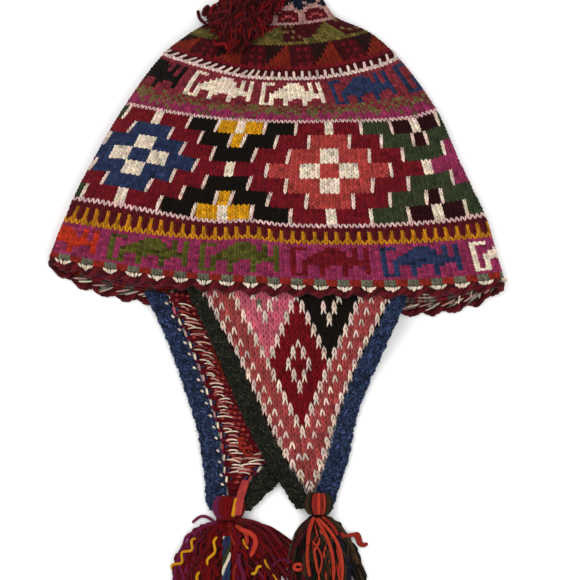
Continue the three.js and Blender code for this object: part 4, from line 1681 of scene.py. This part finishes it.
def height_map(places, least, widen):
    """Highest of these places over the page, in square cells, as a function of x and y"""
    size = 2 * MAP_HALF // MAP_CELL
    tops = np.full((size, size), float(least))

    def cell(at):
        return np.clip(((np.asarray(at) + MAP_HALF) / MAP_CELL).astype(int), 0, size - 1)

    np.maximum.at(tops, (cell(places[:, 0]), cell(places[:, 1])), places[:, 2])
    for _ in range(widen):
        tops = np.stack([np.roll(tops, step, axis) for step in (-1, 0, 1) for axis in (0, 1)]).max(0)
    return lambda x, y: tops[cell(x), cell(y)]


FEATURE_STEPS = 26
FEATURE_SEAT = 0.4
SMOOTH = 7
CORD_STEPS = 40
CORD_RADIUS = 1.1
CORD_REACH = 1.7
CORD_TURNS = 1.5
CORD_SEAT = 0.6
CORD_FLAT = 0.6
ARCH_STRAY = 0.8
ARCH_RADIUS = (0.8, 1.1)
CUT_RADIUS = 1.2
CUT_REACH = 2.4
CUT_FLAT = 0.75
CUT_STEPS = 14


def between(start, end, f):
    """Places on the page on the way from start to end"""
    start, end = np.array(start, float), np.array(end, float)
    return start + np.outer(f, end - start)


def feature(yarn, top, colour, radius, start, end, sway, waves):
    """A strand that stands out on the pile, between two places on the page, bowed or waved to one side"""
    f = np.linspace(0, 1, FEATURE_STEPS)
    ahead = np.array(end, float) - np.array(start, float)
    ahead /= np.linalg.norm(ahead)
    side = np.array([ahead[1], -ahead[0]])
    flat = between(start, end, f) + np.outer(sway * np.sin(2 * np.pi * waves * f), side)
    z = top(flat[:, 0], flat[:, 1]) + FEATURE_SEAT * radius
    z = np.convolve(np.pad(z, SMOOTH // 2, mode="edge"), np.full(SMOOTH, 1 / SMOOTH), mode="valid")
    add_strand(yarn, np.column_stack([flat, np.maximum(z, radius)]), radius, colour)


def twisted(yarn, top, start, end, colours):
    """Strands twisted into a cord that lies on the pile"""
    f = np.linspace(0, 1, CORD_STEPS)
    x, y = between(start, end, f).T
    z = top(x, y).mean() + CORD_SEAT * CORD_RADIUS
    for k, colour in enumerate(colours):
        angle = 2 * np.pi * (CORD_TURNS * f + k / len(colours))
        height = z + CORD_FLAT * CORD_REACH * np.sin(angle)
        path = np.column_stack([x + CORD_REACH * np.cos(angle), y, height])
        add_strand(yarn, path, CORD_RADIUS, colour)


def arches_beside(yarn, top, count, start, end_x, end_y, sway, colours):
    """Loose strands that arch out beside a neck and lie on the floor"""
    for k in range(count):
        begin = np.array(start) + rng.normal(0, ARCH_STRAY, 2)
        end = (rng.uniform(*end_x), rng.uniform(*end_y))
        size = rng.uniform(*ARCH_RADIUS)
        feature(yarn, top, colours[k % len(colours)], size, begin, end, rng.uniform(*sway), 0.5)


def cut_ring(yarn, top, x, y, colour):
    """Cut end of a strand, bent into a ring"""
    turn = np.linspace(0, 2 * np.pi, CUT_STEPS)
    around = np.column_stack([CUT_REACH * np.cos(turn), CUT_FLAT * CUT_REACH * np.sin(turn), 0 * turn])
    add_strand(yarn, np.array([x, y, top(x, y) + CUT_RADIUS]) + around, CUT_RADIUS, colour)


NEAR_TASSEL = Tassel(
    head=(26.2, -127.8, 6.4), radii=(8, 7.4, 6.2), neck=(26, -134.5, 5.5), out=0.8, down=0.24,
    ends=NEAR_ENDS, curl=1.7,
)
FAR_TASSEL = Tassel(
    head=(-27.6, -130, 6.6), radii=(9, 8, 6.4), neck=(-28.5, -138, 5.5), out=0.95, down=0.16,
    ends=FAR_ENDS, curl=2.3,
)
TOP_TASSEL = Tassel(
    head=(-5, 190, 21.3), radii=(8, 7, 6), neck=(-7, 186.5, 22), out=0.55, down=0.3,
    ends=TOP_ENDS, curl=2.2, pile=7, steps=30, waves=(1.6, 3.4), ripples=(4, 7),
)

# Strands that stand out: colour, radius, start, end, sideways sway and its waves
NEAR_FEATURES = (
    ("coral", 1.2, (25, -136), (40, -175), -6, 0.5),
    ("coral", 1.2, (24, -136), (35, -175), -4, 0.5),
    ("coral", 1.4, (23.4, -135.6), (19.8, -153), 1, 0.5),
    ("coral", 1.2, (19.8, -152), (21, -172), 1, 0.5),
    ("coral", 0.7, (22.2, -150), (25.8, -171), -4, 0.5),
    ("block_red", 1.2, (28.2, -135.6), (37.8, -147), -1, 0.5),
    ("block_red", 1.4, (39.6, -144.6), (54.6, -152.4), 1.8, 1.5),
    ("block_red", 1.4, (46.2, -147.6), (55.8, -151.8), -2.4, 1),
    ("brown", 1.1, (31.2, -135), (55.2, -172.8), -2, 0.5),
    ("brown", 1.1, (32.4, -135.6), (49.8, -165), -3, 0.5),
)
FAR_FEATURES = (
    ("wine", 1.3, (-4, -154), (7.5, -172), 1, 0.5),
    ("maroon", 1.3, (-6, -158), (6, -178), 1, 0.5),
    ("tassel_red", 1.2, (-2, -152), (8.5, -167), 1, 0.5),
    ("wine", 1.2, (-8, -160), (5, -184), 1, 0.5),
    ("yellow", 0.9, (-46.8, -148.8), (-61.8, -168), 1.8, 2.5),
    ("yellow", 0.9, (-34.2, -147.6), (-40.2, -165), 1.3, 1.5),
    ("yellow", 1, (-45, -168.6), (-48, -180), 1, 1),
    ("yellow", 0.8, (-19.2, -149), (-16, -155), 0.5, 0.5),
    ("yellow", 0.9, (-6, -161), (-1.8, -167.4), 1, 0.5),
    ("yellow", 1, (-14.4, -169.8), (-7.8, -165.6), 1, 1),
    ("yellow", 0.9, (-0.6, -168), (1.2, -176), 0.6, 1),
    ("purple", 1, (-36.6, -138.6), (-49.8, -139.8), 3.5, 0.5),
    ("coral", 1.7, (-22, -142.8), (-15, -160), -7, 0.5),
    ("coral", 1.4, (-24, -141), (-17, -153), -3, 0.5),
    ("wine", 1.3, (-23.4, -136.8), (4.8, -154.2), -4.5, 0.5),
    ("wine", 1.3, (-22.8, -138), (0, -156), -3.5, 0.5),
    ("purple", 1.4, (-21, -157.2), (-19.8, -176), 1.2, 1),
    ("purple", 1.1, (-1.8, -165.6), (9.6, -163.8), -3, 0.5),
    ("yellow", 1.4, (-25.2, -135.6), (-23, -124.2), 0, 1),
    ("salmon", 2, (-23.4, -135), (-17.6, -113.4), -1, 0.5),
    ("salmon", 1.8, (-21.4, -135), (-16.4, -114), -1, 0.5),
)
TOP_FEATURES = (
    ("wine", 1.1, (-41, 159), (-46.2, 168), -1.6, 0.5),
    ("wine", 1.1, (-43, 164), (-39.6, 170.4), -1.5, 0.5),
    ("tassel_red", 1.1, (-38, 164), (-35, 171), -1.5, 0.5),
    ("tassel_red", 1.1, (-36, 150), (-29, 143), 2, 1),
)

# Loose arches beside a neck: how many, start, range of their ends and of their sway, colours
# Among the arches' colours, the half-bright tassel red is painted shade
FAR_ARCHES = (52, (-23, -138), (-3, 15), (-184, -152), (-6, -2), ("tassel_red", "wine", "tassel_dark"))
NEAR_ARCHES = (16, (22.5, -136), (7, 13), (-180, -158), (2, 5), ("brown", "wine", "black"))
CORD_START, CORD_END = (-28.8, -147), (-29.4, -180)
CORD_COLOURS = ("blue", "blue", "cream", "green")
CUT_END = (13.8, -166)

# Where other yarns lie: from and to a share of the fan, above a height of the pile, and round the heads
NEAR_BRIGHT = (0.3, 0.72, 0.6)
NEAR_DARK = 0.7
FAR_BRIGHT = (0.55, 0.7, 0.5)
FAR_PURPLE = 0.16
HEAD_BRIGHT = 0.84
HEAD_PURPLE = -0.7


def pick_from(**weights):
    """One yarn of several, by weight"""
    shares = np.array(list(weights.values()))
    return list(weights)[rng.choice(len(shares), p=shares / shares.sum())]


def near_yarn(share, height):
    start, end, least = NEAR_BRIGHT
    if start < share < end and height > least:
        return pick_from(coral=2, brown=4, block_red=2, black=4)
    if share > NEAR_DARK:
        return pick_from(brown=5, navy=3, olive=1, black=3)
    return pick_from(brown=4, wine=3, border_green=2, black=4)


def far_yarn(share, height):
    if share < FAR_PURPLE:
        return pick_from(purple=4, tassel_red=3, wine=2)
    start, end, least = FAR_BRIGHT
    if start < share < end and height > least:
        return pick_from(tassel_red=4, purple=2, block_red=1)
    # Half-bright tassel red strands are painted shade in the pile
    return pick_from(tassel_red=8, purple=1, wine=2, tassel_dark=4)


def top_yarn(share, height):
    # Half-bright tassel red strands are painted shade in the pile
    return pick_from(tassel_red=2, wine=2, tassel_dark=6)


def near_head_yarn(angle):
    if np.sin(angle) > HEAD_BRIGHT:
        return pick_from(coral=3, block_red=2)
    return pick_from(brown=3, border_green=2, black=1)


def far_head_yarn(angle):
    return pick_from(tassel_red=3, wine=2) if np.cos(angle) > HEAD_PURPLE else "purple"


TOPS_GRID = (80, 60)


def flap_tops():
    """Places on the top of both flaps"""
    f = np.linspace(0, 1, TOPS_GRID[0])[:, None]
    share = np.linspace(0, 1, TOPS_GRID[1])[None, :]
    up = np.ones_like(share)
    tops = []
    for flap in (NEAR, FAR):
        tops.append(flap.panel(f, share, FLAP_THICK))
        tops += [flap.border(f, share - 0.5, up, *side) for side in (LEFT_SIDE, RIGHT_SIDE)]
    return np.concatenate([place.reshape(-1, 3) for place in tops])


def tassel(name, shape, count, radius, pick, head_pick, floor, wound, features, arches_at=None):
    """One tassel with its outstanding strands on top"""
    yarn = Yarn()
    fan(yarn, shape, count, radius, pick, floor)
    head(yarn, shape, head_pick)
    winding(yarn, shape, wound)
    if arches_at:
        arches_beside(yarn, height_map(np.concatenate(yarn.points), 0, 0), *arches_at)
    top = height_map(np.concatenate(yarn.points + [flap_tops()]), 0, 0)
    for strand in features:
        feature(yarn, top, *strand)
    if shape is FAR_TASSEL:
        twisted(yarn, top, CORD_START, CORD_END, CORD_COLOURS)
    if shape is NEAR_TASSEL:
        cut_ring(yarn, top, *CUT_END, "coral")
    return yarn.piece(f"{name}_yarn", STRAND, f"{name}_yarn", name)


tassel(
    "near_tassel", NEAR_TASSEL, count=190, radius=0.85, pick=near_yarn, head_pick=near_head_yarn,
    floor=on_floor, wound="black", features=NEAR_FEATURES, arches_at=NEAR_ARCHES,
)
tassel(
    "far_tassel", FAR_TASSEL, count=220, radius=0.9, pick=far_yarn, head_pick=far_head_yarn,
    floor=on_floor, wound="tassel_red", features=FAR_FEATURES, arches_at=FAR_ARCHES,
)
tassel(
    "top_tassel", TOP_TASSEL, count=220, radius=0.7, pick=top_yarn, head_pick=far_head_yarn,
    floor=height_map(OUTSIDE.places.reshape(-1, 3), least=5, widen=2), wound="wine", features=TOP_FEATURES,
)


# Studio: pale floor, soft light from above and the camera over the page
FLOOR_HALF = 4
PALE = {"Base Color": (0.9, 0.9, 0.9, 1), "Roughness": 0.9, "Specular IOR Level": 0}
WHITE_SKY = {"Color": (1, 1, 1, 1), "Strength": 1.0}
LAMPS = (("key", (-0.5, 0.6, 1.5), 0.9, 10), ("fill", (0.7, -0.5, 1.4), 1.0, 6.5))
SIGHT = 100


def floor():
    mesh = bpy.data.meshes.new("floor")
    corners = [(FLOOR_HALF * x, FLOOR_HALF * y, 0) for x, y in ((-1, -1), (1, -1), (1, 1), (-1, 1))]
    mesh.from_pydata(corners, [], [(0, 1, 2, 3)])
    material = bpy.data.materials.new("pale_floor")
    material.use_nodes = True
    set_inputs(material.node_tree.nodes["Principled BSDF"], PALE)
    mesh.materials.append(material)
    made = put("floor", mesh)


def lamp(name, place, size, power):
    """Soft square lamp that faces the middle of the hat"""
    light = bpy.data.lights.new(name, "AREA")
    light.size = size
    light.energy = power
    made = put(name, light)
    made.location = place
    made.rotation_mode = "QUATERNION"
    made.rotation_quaternion = (-made.location).to_track_quat("-Z", "Y")


def studio():
    floor()
    world = bpy.data.worlds.new("studio")
    world.use_nodes = True
    set_inputs(world.node_tree.nodes["Background"], WHITE_SKY)
    scene = bpy.context.scene
    scene.world = world
    for name, place, size, power in LAMPS:
        lamp(name, place, size, power)
    scene.view_settings.view_transform = "Standard"
    camera = bpy.data.cameras.new("camera")
    camera.sensor_width = SENSOR
    camera.lens = SENSOR * CAMERA_HEIGHT / FRAME_WIDTH
    camera.clip_end = SIGHT
    scene.camera = put("camera", camera)
    scene.camera.location = (CAMERA_X * MM, 0, CAMERA_HEIGHT * MM)


studio()
